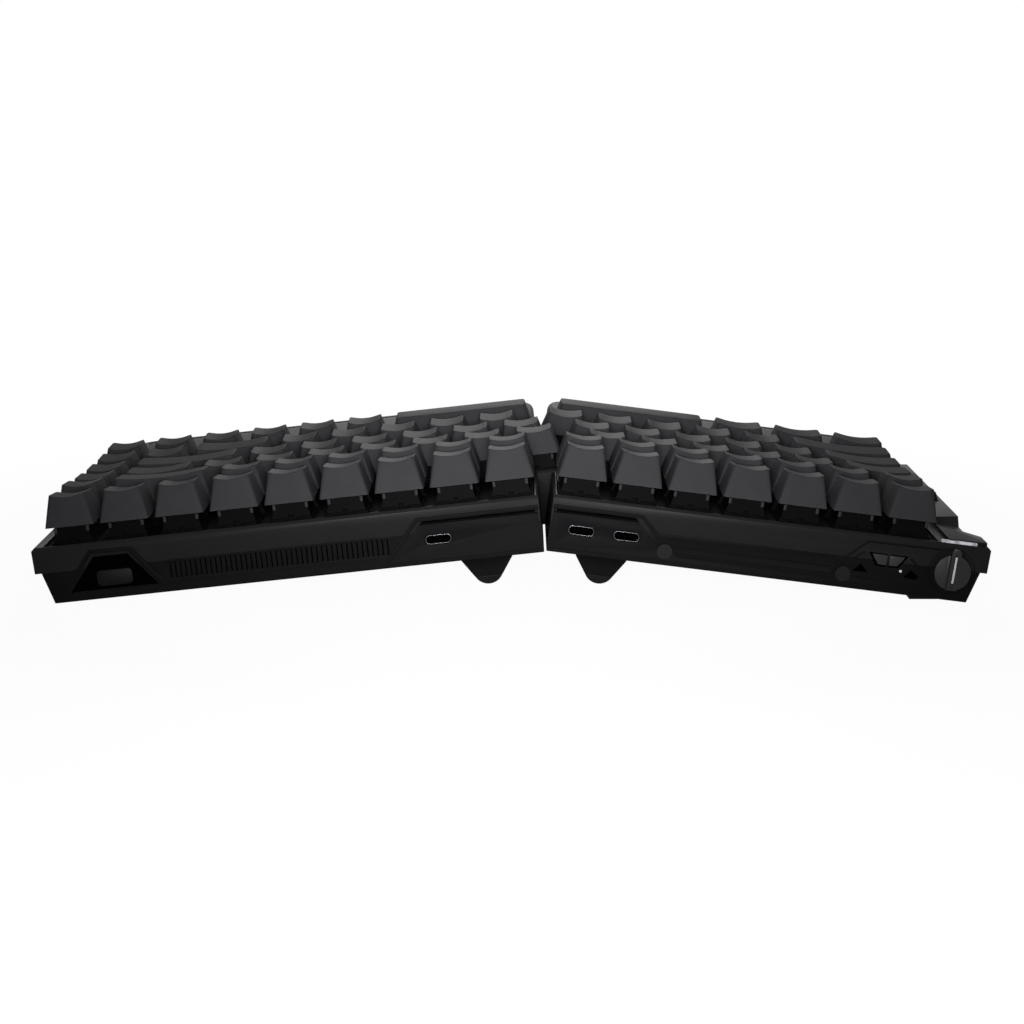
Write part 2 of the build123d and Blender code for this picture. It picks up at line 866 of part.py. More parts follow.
def palm_sheet(half, inset, z):
    """The plan of a palm rest with its two round front corners."""
    inner = edge_gap + inset
    outer = half.front_edge - inset
    rear = case_front + palm_gap + inset
    front = case_front + palm_gap + palm_depth - inset
    radius = palm_corner_radius - inset
    middle = half.at((inner + outer) / 2, (rear + front) / 2, z)
    sheet = Rectangle(outer - inner, front - rear)
    corners = sheet.vertices().sort_by(Axis.Y)[:2]
    return middle * fillet(corners, radius)


def palm_rest_base(half):
    """The hard underside of the palm rest with the tongues that hook the case."""
    level = palm_base_lift + palm_base_height
    body = extrude(palm_sheet(half, 0, palm_base_lift), palm_base_height)
    lower = [(half.front_edge, palm_base_lift), (half.front_edge - palm_side_inset, palm_base_lift)]
    lower.append((half.front_edge, level))
    points = [(half.side * u, 0, z) for u, z in lower]
    wedge = make_face(Polyline(*points, close=True))
    body -= Pos(0, -case_front, 0) * extrude(wedge, 2 * palm_depth, dir=(0, -1, 0))
    for u in palm_tongue_offsets(half):
        body += palm_tongue(half, u, 0)
    return body


def palm_pad(half):
    """The soft top of the palm rest, rounded along its upper edge."""
    level = palm_base_lift + palm_base_height
    body = extrude(palm_sheet(half, palm_pad_inset, level), palm_pad_height)
    crest = body.edges().group_by(Axis.Z)[-1]
    return fillet(crest, palm_edge_radius)


def rubber_pads(half):
    """Pads along the outer edge, ground level with the desk in the tented stance."""
    edge = half.front_edge - tray_step - tray_taper - pad_inset
    rear = pad_end_inset - rear_border + pad_length / 2
    front = case_front - pad_end_inset - pad_length / 2
    desk = -half.lift / math.cos(half.tilt)
    slope = math.tan(half.tilt)
    points = [
        (half.side * edge, 0, 0),
        (half.side * (edge - pad_width), 0, 0),
        (half.side * (edge - pad_width), 0, desk + (edge - pad_width) * slope),
        (half.side * edge, 0, desk + edge * slope),
    ]
    section = make_face(Polyline(*points, close=True))
    pad = extrude(section, pad_length, dir=(0, -1, 0))
    return [Pos(0, pad_length / 2 - v, 0) * pad for v in (rear, front)]


def rail_middle():
    inner = left.field_edge + rail_inner_offset
    return (inner + left.front_edge - rail_outer_inset) / 2


def rail_cuts(half):
    """Slots in the rail and the deck for the wheel and the button."""
    slot_width = wheel_width + 2 * wheel_slot_clearance
    slot_length = 2 * (wheel_radius + wheel_slot_clearance)
    top = case_height + rail_height + overrun
    low = case_height + rail_height + wheel_rise - 2 * wheel_radius - wheel_slot_clearance
    wheel_slot = half.at(rail_middle(), wheel_place) * box_up(slot_width, slot_length, low, top)
    bore_length = slot_width + 2 * wheel_axle_reach + 2 * wheel_slot_clearance
    bore = Cylinder(wheel_axle_radius + foot_pin_clearance, bore_length, rotation=(0, 90, 0))
    return [wheel_slot, half.at(rail_middle(), wheel_place, wheel_level()) * bore]


def wheel_level():
    return case_height + rail_height + wheel_rise - wheel_radius


def side_rail(half):
    """The raised rail beside the keys, with the low plate on the rear ear."""
    inner = left.field_edge + rail_inner_offset
    outer = half.front_edge - rail_outer_inset
    rear, front = rail_start, case_front - rail_end_margin
    top = case_height + rail_height
    inner_top = top - rail_inner_drop
    section = [
        (half.side * inner, 0, case_height),
        (half.side * outer, 0, case_height),
        (half.side * outer, 0, top),
        (half.side * inner, 0, inner_top),
    ]
    bar = make_face(Polyline(*section, close=True))
    bar = Pos(0, -rear, 0) * extrude(bar, front - rear, dir=(0, -1, 0))
    slope = [(0, -rear, case_height), (0, -rear, top), (0, -rear - rail_rear_slope, top)]
    wedge = make_face(Polyline(*slope, close=True))
    bar -= extrude(wedge, 2 * half.front_edge, both=True, dir=(1, 0, 0))
    ear_outer = half.outer_edge[0][0] - ear_plate_inset
    ear_front = half.outer_edge[1][1]
    ear_bevel = half.outer_edge[2][1]
    seat = light_bar_depth - rear_border + frame_chamfer
    ear = [
        (inner, seat),
        (ear_outer, seat),
        (ear_outer, ear_front),
        (outer, ear_bevel),
        (outer, rear + rail_rear_slope),
        (inner, rear + rail_rear_slope),
    ]
    plate = make_face(Polyline(*[(half.side * u, -v) for u, v in ear], close=True))
    bar += Pos(0, 0, case_height) * extrude(plate, ear_plate_height)
    return bar - rail_cuts(half) - button_room(half)


def light_bar(half):
    """The clear strip along the rear edge of the ear."""
    middle_u = light_bar_start + light_bar_length / 2
    rear = frame_chamfer - rear_border
    strip = box_up(
        light_bar_length, light_bar_depth, case_height - light_bar_seat,
        case_height + light_bar_height,
    )
    return half.at(middle_u, rear + light_bar_depth / 2) * strip


def mode_dial(half):
    """The rotary selector on the rear wall with its raised grip and shaft."""
    bottom = dial_base_thickness
    top = bottom + dial_fin_height
    length = dial_fin_reach + dial_fin_tail
    middle = Pos(0, (dial_fin_tail - dial_fin_reach) / 2, 0)
    fin = middle * box_up(dial_fin_width, length, bottom, top)
    fin += Pos(0, -dial_fin_reach, 0) * rod_up(dial_fin_width / 2, bottom, top)
    fin -= middle * box_up(dial_line_width, length, top - dial_line_depth, top + overrun)
    dial = rod_up(dial_radius, 0, bottom) + fin
    dial += rod_up(dial_shaft_radius, -dial_shaft_length, 0)
    face = rear_border - dial_recess_depth + dial_clearance
    return Pos(half.side * dial_offset, face, dial_height) * Rot(-90, 0, 0) * dial


def control_wheel(half):
    """The ribbed wheel in the side rail on its own axle."""
    wheel = Cylinder(wheel_radius, wheel_width)
    for turn in range(wheel_groove_count):
        angle = 2 * math.pi * turn / wheel_groove_count
        x, y = wheel_radius * math.cos(angle), wheel_radius * math.sin(angle)
        wheel -= Pos(x, y, 0) * Cylinder(wheel_groove_radius, wheel_width)
    axle_length = wheel_width + 2 * wheel_slot_clearance + 2 * wheel_axle_reach
    wheel += Cylinder(wheel_axle_radius, axle_length)
    return half.at(rail_middle(), wheel_place, wheel_level()) * Rot(0, 90, 0) * wheel


def button_bottom():
    return case_height + button_travel + button_clearance


def button_room(half):
    """The hole in the rail for the button, wider below for its two end lips."""
    width = button_width + 2 * button_clearance
    length = button_length + 2 * button_clearance
    roof = button_bottom() + button_flange_height + seat_clearance
    hole = box_up(width, length, case_height - overrun, case_height + rail_height + overrun)
    hole += box_up(width, length + 2 * button_flange_reach, case_height - overrun, roof)
    return half.at(rail_middle(), button_place) * hole


def control_button(half):
    """The push button in the side rail, with a lip at each end that holds it in."""
    bottom = button_bottom()
    top = case_height + rail_height + button_rise
    lips = button_length + 2 * button_flange_reach
    button = box_up(button_width, button_length, bottom, top)
    button += box_up(button_width, lips, bottom, bottom + button_flange_height)
    return half.at(rail_middle(), button_place) * button


def rear_badge(half):
    """The blank plate in the slanted field of the rear wall."""
    wall = Plane(origin=(0, rear_border - strip_recess, 0), x_dir=(1, 0, 0), z_dir=(0, 1, 0))
    plate = extrude(
        wall * RectangleRounded(badge_width, badge_height, badge_radius),
        badge_thickness,
    )
    return Pos(half.side * badge_center, 0, badge_lift) * plate


def battery(half):
    bottom = tray_floor + battery_gap
    block = box_up(battery_width, battery_length, bottom, bottom + battery_height)
    return half.at(battery_offset, battery_place) * block


def key_nodes(half, rows):
    """Every key with its sliders, gathered by the bank that it belongs to."""
    banks, caps = {}, {}
    plunger, insert = switch_slider(), stabilizer_slider()
    for bank, row, units, u, v in key_places(half, rows):
        kind = (units, row)
        if kind not in caps:
            caps[kind] = keycap(units, row, units < long_stabilized_unit_share)
        pieces = banks.setdefault(bank, [])
        pieces.append(half.at(u, v) * caps[kind])
        pieces.append(half.at(u, v) * plunger)
        pieces += [half.at(u + reach, v) * insert for reach in stabilizer_reaches(units)]
    return banks


def switch_nodes(half, rows):
    """The fixed housings under the keys, and the stabilisers with their wires."""
    body, guide = switch_housing(), stabilizer_housing()
    housings, guides = [], []
    for _, _, units, u, v in key_places(half, rows):
        housings.append(half.at(u, v) * body)
        reaches = stabilizer_reaches(units)
        guides += [half.at(u + reach, v) * guide for reach in reaches]
        if reaches:
            guides.append(half.at(u, v) * stabilizer_wire_bar(reaches[-1]))
    return housings, guides


def half_nodes(half, rows):
    """All nodes of one half, drawn flat."""
    name = half.name
    housings, guides = switch_nodes(half, rows)
    nodes = {
        f"{name}_bottom_case": bottom_case(half),
        f"{name}_top_frame": top_frame(half),
        f"{name}_switch_plate": switch_plate(half, rows),
        f"{name}_circuit_board": circuit_board(half),
        f"{name}_switch_housings": housings,
        f"{name}_stabilizers": guides,
        f"{name}_usb_sockets": usb_sockets(half),
        f"{name}_case_screws": case_screws(half),
        f"{name}_rubber_pads": rubber_pads(half),
        f"{name}_palm_rest_base": palm_rest_base(half),
        f"{name}_palm_pad": palm_pad(half),
    }
    for end, place, _ in foot_places():
        nodes[f"{name}_{end}_foot"] = tenting_foot(half, place)
        nodes[f"{name}_{end}_foot_tip"] = foot_tip(half, place)
    nodes.update(key_nodes(half, rows))
    return nodes


def frame_origin(shapes):
    """The shift that brings the middle of the keyboard's footprint to the origin."""
    boxes = [shape.bounding_box() for shape in shapes]
    x = (min(box.min.X for box in boxes) + max(box.max.X for box in boxes)) / 2
    y = (min(box.min.Y for box in boxes) + max(box.max.Y for box in boxes)) / 2
    return Pos(-x, -y, -min(box.min.Z for box in boxes))


def all_nodes():
    """Every node in its place on the desk, about the middle of the whole keyboard."""
    left_half = half_nodes(left, left_key_shares)
    left_half["left_side_rail"] = side_rail(left)
    left_half["left_light_bar"] = light_bar(left)
    left_half["left_battery"] = battery(left)
    left_half["mode_dial"] = mode_dial(left)
    left_half["control_wheel"] = control_wheel(left)
    left_half["control_button"] = control_button(left)
    right_half = half_nodes(right, right_key_shares)
    right_half["right_rear_badge"] = rear_badge(right)
    placed = {}
    for half, nodes in ((left, left_half), (right, right_half)):
        for node, shape in nodes.items():
            solids = shape if isinstance(shape, list) else [shape]
            placed[node] = half.place(Compound([s for p in solids for s in p.solids()]))
    middle = frame_origin(placed.values())
    return {node: middle * shape for node, shape in placed.items()}


if __name__ == "__main__":
    for node, shape in all_nodes().items():
        export_step(shape, f"parts/{node}.step")
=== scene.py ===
import json
import math

import bmesh
import bpy
from bpy.props import FloatProperty, PointerProperty, StringProperty
from mathutils import Matrix, Vector


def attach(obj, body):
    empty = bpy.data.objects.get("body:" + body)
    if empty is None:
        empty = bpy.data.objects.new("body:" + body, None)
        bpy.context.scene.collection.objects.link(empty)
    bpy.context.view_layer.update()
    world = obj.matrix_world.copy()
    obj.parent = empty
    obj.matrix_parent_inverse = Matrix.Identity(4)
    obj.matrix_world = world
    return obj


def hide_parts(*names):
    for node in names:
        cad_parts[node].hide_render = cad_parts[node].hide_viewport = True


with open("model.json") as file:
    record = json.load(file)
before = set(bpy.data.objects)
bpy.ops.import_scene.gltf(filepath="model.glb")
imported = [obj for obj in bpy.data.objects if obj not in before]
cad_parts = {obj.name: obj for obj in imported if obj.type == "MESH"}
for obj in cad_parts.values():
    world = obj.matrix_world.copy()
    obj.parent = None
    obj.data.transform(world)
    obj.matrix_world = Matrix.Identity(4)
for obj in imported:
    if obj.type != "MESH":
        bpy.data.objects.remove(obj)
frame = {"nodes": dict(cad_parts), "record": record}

bl_info = {
    "name": "Split keyboard",
    "version": (1, 0, 0),
    "blender": (4, 5, 0),
    "location": "3D View > Sidebar > Keyboard",
    "description": "Dresses a tented split keyboard round its packed frame",
    "category": "Object",
}

MM = 0.001
QUARTER = math.radians(90)
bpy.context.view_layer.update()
SLOTS = {row["node"]: row["material_slot"] for row in frame["record"]["subparts"]}

# Key banks of each half, row by row from the middle outward: bank, units and legend.
LEFT_KEYS = (
    [("left_function_keys", 1, t) for t in "F6 F5 F4 F3 F2 F1 Esc".split()],
    [("left_number_keys", 1, t) for t in "654321`"],
    [("left_top_letter_keys", 1, t) for t in "TREWQ"] + [("tab_key", 1.5, "Tab")],
    [("left_home_letter_keys", 1, t) for t in "GFDSA"] + [("caps_lock_key", 1.75, "Caps")],
    [("left_bottom_letter_keys", 1, t) for t in "BVCXZ"] + [("left_shift_key", 2.25, "Shift")],
    [("left_space_key", 3.25, "")]
    + [("left_modifier_keys", 1.25, t) for t in ("Alt", "", "Ctrl")],
)
RIGHT_KEYS = (
    [("right_function_keys", 1, t) for t in "F7 F8 F9 F10 F11 F12 Prt Ins Del".split()],
    [("right_number_keys", 1, t) for t in "7890-="]
    + [("backspace_key", 2, "Back"), ("page_keys", 1, "Home")],
    [("right_top_letter_keys", 1, t) for t in "YUIOP[]"]
    + [("backslash_key", 1.5, "\\"), ("page_keys", 1, "PgUp")],
    [("right_home_letter_keys", 1, t) for t in "HJKL;'"]
    + [("enter_key", 2.25, "Enter"), ("page_keys", 1, "PgDn")],
    [("right_bottom_letter_keys", 1, t) for t in "NM,./"]
    + [("right_shift_key", 1.75, "Shift"), ("arrow_keys", 1, "up"), ("page_keys", 1, "End")],
    [("right_space_key", 3, "")]
    + [("right_modifier_keys", 1, t) for t in ("Alt", "Fn", "Ctrl")]
    + [("arrow_keys", 1, t) for t in ("left", "down", "right")],
)
# Where each row starts, in key pitches outward from the middle line.
LEFT_STARTS = (0, 0, 0.5, 0.25, -0.25, 0)
RIGHT_STARTS = (0, 0, -0.5, -0.25, 0.25, 0)
# Height of each row's caps at their rear and front edges.
REAR_HEIGHTS = tuple(MM * h for h in (11.1, 10.7, 8.9, 8.1, 7.9, 8.7))
FRONT_HEIGHTS = tuple(MM * h for h in (9.9, 9.8, 8.6, 8.2, 8.4, 9.0))

HALVES = {
    "left": {"side": -1, "keys": LEFT_KEYS, "starts": LEFT_STARTS},
    "right": {"side": 1, "keys": RIGHT_KEYS, "starts": RIGHT_STARTS},
}


def length(name, default, description):
    """A length property, written in millimetres."""
    return FloatProperty(
        name=name, description=description, default=default * MM, subtype="DISTANCE",
        unit="LENGTH",
    )


def tilt(name, default, description):
    """An angle property, written in degrees."""
    return FloatProperty(
        name=name, description=description, default=math.radians(default), subtype="ANGLE",
        unit="ROTATION",
    )


def colour(name, default, description):
    """A colour property, held as an sRGB hex value."""
    return StringProperty(name=name, description=description, default=default)


class KeyboardSizes(bpy.types.PropertyGroup):
    """Sizes that the dressing shares with the frame."""

    pitch: length("Key pitch", 19.05, "Distance between the centres of two keys")
    cap_bottom: length("Cap level", 25.9, "Lower edge of the keycaps above the case's underside")
    cap_base: length("Cap foot", 17.0, "Width of a one-unit keycap at its lower edge")
    cap_taper: length("Cap taper", 2.2, "How far each side of a keycap leans in")
    cap_rear_taper: length("Cap rear taper", 2.2, "How far the rear face of a keycap leans in")
    cap_front_taper: length("Cap front taper", 2.0, "How far the front face of a keycap leans in")
    cap_wall: length("Cap wall", 1.3, "Thickness of a keycap's wall")
    cap_dish: length("Cap dish", 1.2, "Depth of the finger trough in a keycap")
    cap_roof: length("Cap roof", 2.7, "Depth of plastic above a keycap's hollow")
    cap_foot_radius: length("Cap foot radius", 0.9, "Corner radius at a keycap's lower edge")
    cap_top_radius: length("Cap top radius", 1.7, "Corner radius at a keycap's top")
    cap_rim: length("Cap rim", 0.35, "Rounding of the rim round a keycap's top")
    legend_size: length("Legend size", 3.6, "Height of a single printed character")
    plate_top: length("Plate level", 19.0, "Upper face of the switch plate")
    switch_top: length("Switch level", 25.6, "Upper face of the switch housings")
    rear_wall: length("Rear wall", 2.0, "How far the rear wall stands behind the key field")
    edge_round: length("Edge rounding", 0.25, "Rounding of the moulded edges of the cases")
    shift: length("Middle gap", -0.0472, "Sideways place of each half's inner line")
    left_lift: length("Left lift", 19.4012, "Height of the left half's inner line")
    right_lift: length("Right lift", 19.0177, "Height of the right half's inner line")
    origin_x: length("Frame X", -11.89337, "Place of the middle line in the frame")
    origin_y: length("Frame Y", 90.45, "Place of the rear key line in the frame")
    left_tent: tilt("Left tent", 7.19, "Sideways tilt of the left half")
    right_tent: tilt("Right tent", 6.28, "Sideways tilt of the right half")


class KeyboardColours(bpy.types.PropertyGroup):
    """Colours of the finishes, as sRGB hex values."""

    keycap: colour("Keycap", "#303032", "Moulded keycap plastic")
    legend: colour("Legend", "#3f3f42", "Legends on the keycaps")
    case: colour("Case", "#0f0f10", "Moulded lower cases and feet")
    rim: colour("Rim", "#171718", "Upper rims and the side rail")
    switch: colour("Switch", "#080809", "Switch housings and stabilisers")
    plate: colour("Plate", "#070708", "Powder-coated switch plate")
    rubber: colour("Rubber", "#0d0d0e", "Pads, foot tips and the wheel")
    pad: colour("Palm pad", "#121213", "Soft-touch tops of the palm rests")
    steel: colour("Steel", "#4c4d50", "Socket shells")
    lamp: colour("Lamp", "#f2f4ff", "Light bar and indicator")
    mark: colour("Dial mark", "#b4b4b6", "Painted line on the mode dial")


def sizes():
    """The sizes that the panel shows."""
    return bpy.context.scene.keyboard_sizes


def linear(text):
    """An sRGB hex value as linear RGBA."""
    channels = [int(text[i:i + 2], 16) / 255 for i in (1, 3, 5)]
    return [c / 12.92 if c <= 0.04045 else ((c + 0.055) / 1.055) ** 2.4 for c in channels] + [1.0]


def node(tree, kind, inputs=None, **settings):
    """Adds one node with its settings, and sets or links its inputs."""
    made = tree.nodes.new(kind)
    for name, value in settings.items():
        setattr(made, name, value)
    for name, value in (inputs or {}).items():
        socket = made.inputs[name]
        if isinstance(value, bpy.types.NodeSocket):
            tree.links.new(value, socket)
        else:
            socket.default_value = value
    return made


def blank_material(name):
    """An empty node material and its tree."""
    made = bpy.data.materials.new(name)
    made.use_nodes = True
    made.node_tree.nodes.clear()
    return made, made.node_tree


def surfaced(made, inputs):
    """Ends a material in one principled surface."""
    surface = node(made.node_tree, "ShaderNodeBsdfPrincipled", inputs)
    node(made.node_tree, "ShaderNodeOutputMaterial", {0: surface.outputs[0]})
    return made


# Moulded surfaces: how far and over what length the tone wanders, and how uneven the gloss is.
MOTTLE_SHARE = 0.12
MOTTLE_SIZE = 7 * MM
GLOSS_SWING = 0.06
GRAIN_STRENGTH = 0.5


def moulded(name, tint, roughness, grain, relief, gleam, **shader):
    """A moulded plastic or rubber: eroded-steel grain, slow mottling and slightly uneven gloss."""
    made, tree = blank_material(name)
    place = node(tree, "ShaderNodeTexCoord").outputs["Object"]
    slow = node(tree, "ShaderNodeTexNoise", {"Vector": place, "Scale": 1 / MOTTLE_SIZE, "Detail": 3.0})
    fine = node(tree, "ShaderNodeTexNoise", {"Vector": place, "Scale": 1 / grain, "Detail": 2.0})
    base = linear(tint)
    dark = [c * (1 - MOTTLE_SHARE) for c in base[:3]] + [1.0]
    pale = [c * (1 + MOTTLE_SHARE) for c in base[:3]] + [1.0]
    tone = node(tree, "ShaderNodeMix", {0: slow.outputs[0], 6: dark, 7: pale}, data_type="RGBA")
    gloss = node(
        tree, "ShaderNodeMapRange",
        {0: fine.outputs[0], 3: roughness - GLOSS_SWING, 4: roughness + GLOSS_SWING},
    )
    bump = node(
        tree, "ShaderNodeBump",
        {"Height": fine.outputs[0], "Strength": GRAIN_STRENGTH, "Distance": relief},
    )
    return surfaced(made, {
        "Base Color": tone.outputs[2], "Roughness": gloss.outputs[0], "Normal": bump.outputs[0],
        "Specular IOR Level": gleam, **shader,
    })


# Brushed metal: the depth of its streaks and how they vary the roughness.
BRUSH_RELIEF = 0.02 * MM
BRUSH_STRENGTH = 0.3
BRUSH_SMOOTHER = 0.08
BRUSH_ROUGHER = 0.1


def metal(name, tint, roughness, brush, stretch=(1, 1, 14)):
    """A metal with streaks drawn out along one axis."""
    made, tree = blank_material(name)
    place = node(tree, "ShaderNodeTexCoord").outputs["Object"]
    turned = node(tree, "ShaderNodeMapping", {"Vector": place, "Scale": stretch})
    streaks = node(
        tree, "ShaderNodeTexNoise", {"Vector": turned.outputs[0], "Scale": 1 / brush, "Detail": 4.0}
    )
    gloss = node(
        tree, "ShaderNodeMapRange",
        {0: streaks.outputs[0], 3: roughness - BRUSH_SMOOTHER, 4: roughness + BRUSH_ROUGHER},
    )
    bump = node(
        tree, "ShaderNodeBump",
        {"Height": streaks.outputs[0], "Strength": BRUSH_STRENGTH, "Distance": BRUSH_RELIEF},
    )
    return surfaced(made, {
        "Base Color": linear(tint), "Metallic": 1.0,
        "Roughness": gloss.outputs[0], "Normal": bump.outputs[0],
    })


# The light guide: the spacing of the lamps behind it, and where and how much its glow changes.
LAMP_PITCH = 2.4 * MM
DIM_NOISE, BRIGHT_NOISE = 0.42, 0.6
DIM_GLOW, BRIGHT_GLOW = 0.06, 0.3


def materials():
    """Every finish of the keyboard, by the record's slot or the dressing's own name."""
    tint = bpy.context.scene.keyboard_colours
    found = {m["use"]: m for m in bpy.data.materials if "use" in m}
    if found:
        return found
    made = {
        # Sintered PBT keycaps: matt, with a fine eroded grain that scatters a soft highlight.
        "keycap_plastic": moulded("keycap PBT", tint.keycap, 0.55, 0.45 * MM, 0.03 * MM, 0.008),
        # Laser-marked legends: the pale underlayer, a little smoother than the cap.
        "legend": moulded("legend resin", tint.legend, 0.55, 0.5 * MM, 0.01 * MM, 0.008),
        # Spark-eroded ABS shells: matt black with a coarser grain than the caps.
        "case_plastic": moulded("case ABS", tint.case, 0.5, 0.6 * MM, 0.05 * MM, 0.012),
        # Satin-painted rim: tighter highlight along its chamfer.
        "rim_plastic": moulded("rim satin ABS", tint.rim, 0.42, 0.5 * MM, 0.03 * MM, 0.05),
        # Window panes: smoked acrylic with a soft sheen.
        "pane": moulded("pane smoked acrylic", "#262628", 0.3, 0.9 * MM, 0.005 * MM, 0.15),
        # Painted shade for spark-eroded recesses, grooves and socket insides: a flat black with no
        # gleam, so that they read as holes.
        "recess": moulded("recess eroded ABS", "#020202", 0.9, 0.4 * MM, 0.05 * MM, 0.0),
        # Pad-printed enamel line: the only pale part of the dial.
        "mark": moulded("mark pad-printed enamel", tint.mark, 0.4, 0.6 * MM, 0.01 * MM, 0.3),
        # Translucent nylon clips, which read a little paler than the black housings.
        "clip": moulded("clip smoked nylon", "#1c1c1e", 0.35, 0.8 * MM, 0.01 * MM, 0.15),
        "switch_plastic": moulded("switch nylon", tint.switch, 0.5, 0.8 * MM, 0.02 * MM, 0.01),
        # Powder-coated steel: a fine orange peel with hardly any gleam.
        "plate_steel": moulded("plate powder coat", tint.plate, 0.6, 0.35 * MM, 0.05 * MM, 0.01),
        "dial_plastic": moulded("dial satin ABS", tint.rim, 0.38, 0.5 * MM, 0.02 * MM, 0.2),
        # Moulded silicone rubber: very matt, with a dusty bloom at grazing light.
        "grip_rubber": moulded(
            "grip silicone", tint.rubber, 0.6, 0.9 * MM, 0.06 * MM, 0.05, **{"Sheen Weight": 0.01}
        ),
        "pad_rubber": moulded(
            "pad soft touch", tint.pad, 0.7, 0.8 * MM, 0.07 * MM, 0.08, **{"Sheen Weight": 0.01}
        ),
        # Black solder mask: smooth, seen only through slots.
        "board": moulded("board solder mask", "#070a08", 0.4, 1.5 * MM, 0.01 * MM, 0.02),
        # Metals: drawn nickel shells, tumbled zinc screws, rolled foil and a brushed plate.
        "socket_steel": metal("socket black nickel", tint.steel, 0.35, 0.5 * MM),
        "screw_steel": metal("screw black zinc", "#19191a", 0.45, 0.4 * MM, (1, 1, 1)),
        "battery_foil": metal("battery foil", "#8f9092", 0.35, 2 * MM, (1, 6, 1)),
        "badge_metal": metal("badge dark anodised", "#131314", 0.45, 0.3 * MM, (10, 1, 1)),
    }
    lens, tree = blank_material("lens diffusing polycarbonate")
    # Milky light guide: the lamps behind it read as soft bright spots along its length.
    place = node(tree, "ShaderNodeTexCoord").outputs["Object"]
    spots = node(tree, "ShaderNodeTexNoise", {"Vector": place, "Scale": 1 / LAMP_PITCH, "Detail": 0.0})
    glow = node(
        tree, "ShaderNodeMapRange",
        {0: spots.outputs[0], 1: DIM_NOISE, 2: BRIGHT_NOISE, 3: DIM_GLOW, 4: BRIGHT_GLOW},
    )
    made["clear_plastic"] = surfaced(lens, {
        "Base Color": linear("#8f9094"), "Roughness": 0.25, "Specular IOR Level": 0.3,
        "Emission Color": linear(tint.lamp), "Emission Strength": glow.outputs[0],
    })
    for use, material in made.items():
        material["use"] = use
    return made


def half_matrix(name):
    """From a half's flat drawing frame to its place on the desk."""
    s, side = sizes(), HALVES[name]["side"]
    lift, tent = getattr(s, name + "_lift"), getattr(s, name + "_tent")
    place = Matrix.Translation((side * s.shift + s.origin_x, s.origin_y, lift))
    return place @ Matrix.Rotation(side * tent, 4, "Y")


def new_object(name, data):
    """An object for a mesh or other data, linked to the scene at the origin."""
    made = bpy.data.objects.new(name, data)
    bpy.context.scene.collection.objects.link(made)
    return made


def mesh_from(points, faces, name="mesh"):
    """A mesh from points and faces."""
    mesh = bpy.data.meshes.new(name)
    mesh.from_pydata([tuple(p) for p in points], [], faces)
    mesh.update()
    return mesh


def circle(count, radius, centre=(0, 0)):
    """Points round a circle."""
    turns = [math.tau * i / count for i in range(count)]
    return [(centre[0] + radius * math.cos(t), centre[1] + radius * math.sin(t)) for t in turns]


def bridge(rings):
    """Quads between neighbouring rings of point numbers."""
    faces = []
    for low, high in zip(rings, rings[1:]):
        faces += zip(low, low[1:] + low[:1], high[1:] + high[:1], high)
    return faces


def stacked(outlines):
    """The points of several outlines, and each outline's point numbers."""
    points, rings = [], []
    for outline in outlines:
        rings.append(list(range(len(points), len(points) + len(outline))))
        points += outline
    return points, rings


def lofted(outlines, name):
    """A closed mesh through outlines, with a flat face at each end."""
    points, rings = stacked(outlines)
    ends = [tuple(reversed(rings[0])), tuple(rings[-1])]
    return mesh_from(points, bridge(rings) + ends, name)


def join_meshes(name, parts, slots):
    """One mesh from several, each with its matrix and its material index."""
    made = bmesh.new()
    for mesh, matrix, index in parts:
        copy = mesh.copy()
        copy.transform(matrix)
        if matrix.determinant() < 0:
            copy.flip_normals()
        first = len(made.faces)
        made.from_mesh(copy)
        made.faces.ensure_lookup_table()
        for face in made.faces[first:]:
            face.material_index = index
        bpy.data.meshes.remove(copy)
    mesh = bpy.data.meshes.new(name)
    made.to_mesh(mesh)
    made.free()
    for material in slots:
        mesh.materials.append(material)
    return mesh


def soften(mesh, angle=35):
    """Smooth shading with sharp edges kept."""
    mesh.shade_smooth()
    mesh.set_sharp_from_angle(angle=math.radians(angle))


def placed(mesh, name, half):
    """A piece drawn in a half's flat frame, softened and set in its place."""
    soften(mesh)
    mesh.transform(half_matrix(half))
    return new_object(name, mesh)


def evaluated_mesh(obj):
    """The plain mesh that an object's modifiers give."""
    graph = bpy.context.evaluated_depsgraph_get()
    return bpy.data.meshes.new_from_object(obj.evaluated_get(graph))


def new_tree(name, sockets):
    """A geometry node tree with named inputs, and its input sockets."""
    tree = bpy.data.node_groups.new(name, "GeometryNodeTree")
    face = tree.interface
    face.new_socket("Geometry", in_out="INPUT", socket_type="NodeSocketGeometry")
    for socket, kind in sockets.items():
        face.new_socket(socket, in_out="INPUT", socket_type="NodeSocket" + kind)
    face.new_socket("Geometry", in_out="OUTPUT", socket_type="NodeSocketGeometry")
    return tree, node(tree, "NodeGroupInput").outputs


def end_tree(tree, geometry, material):
    """Ends a tree in real geometry that carries its material."""
    real = node(tree, "GeometryNodeRealizeInstances", {0: geometry})
    dressed = node(tree, "GeometryNodeSetMaterial", {0: real.outputs[0], "Material": material})
    node(tree, "NodeGroupOutput", {0: dressed.outputs[0]})
    return tree


def repeat_tree():
    """Geometry nodes that set one shape at each point of a mesh."""
    name = "Shape at each point"
    if name in bpy.data.node_groups:
        return bpy.data.node_groups[name]
    tree, given = new_tree(name, {"Shape": "Object", "Material": "Material"})
    shape = node(tree, "GeometryNodeObjectInfo", {"Object": given["Shape"]})
    spread = node(
        tree, "GeometryNodeInstanceOnPoints",
        {"Points": given["Geometry"], "Instance": shape.outputs["Geometry"]},
    )
    return end_tree(tree, spread.outputs[0], given["Material"])


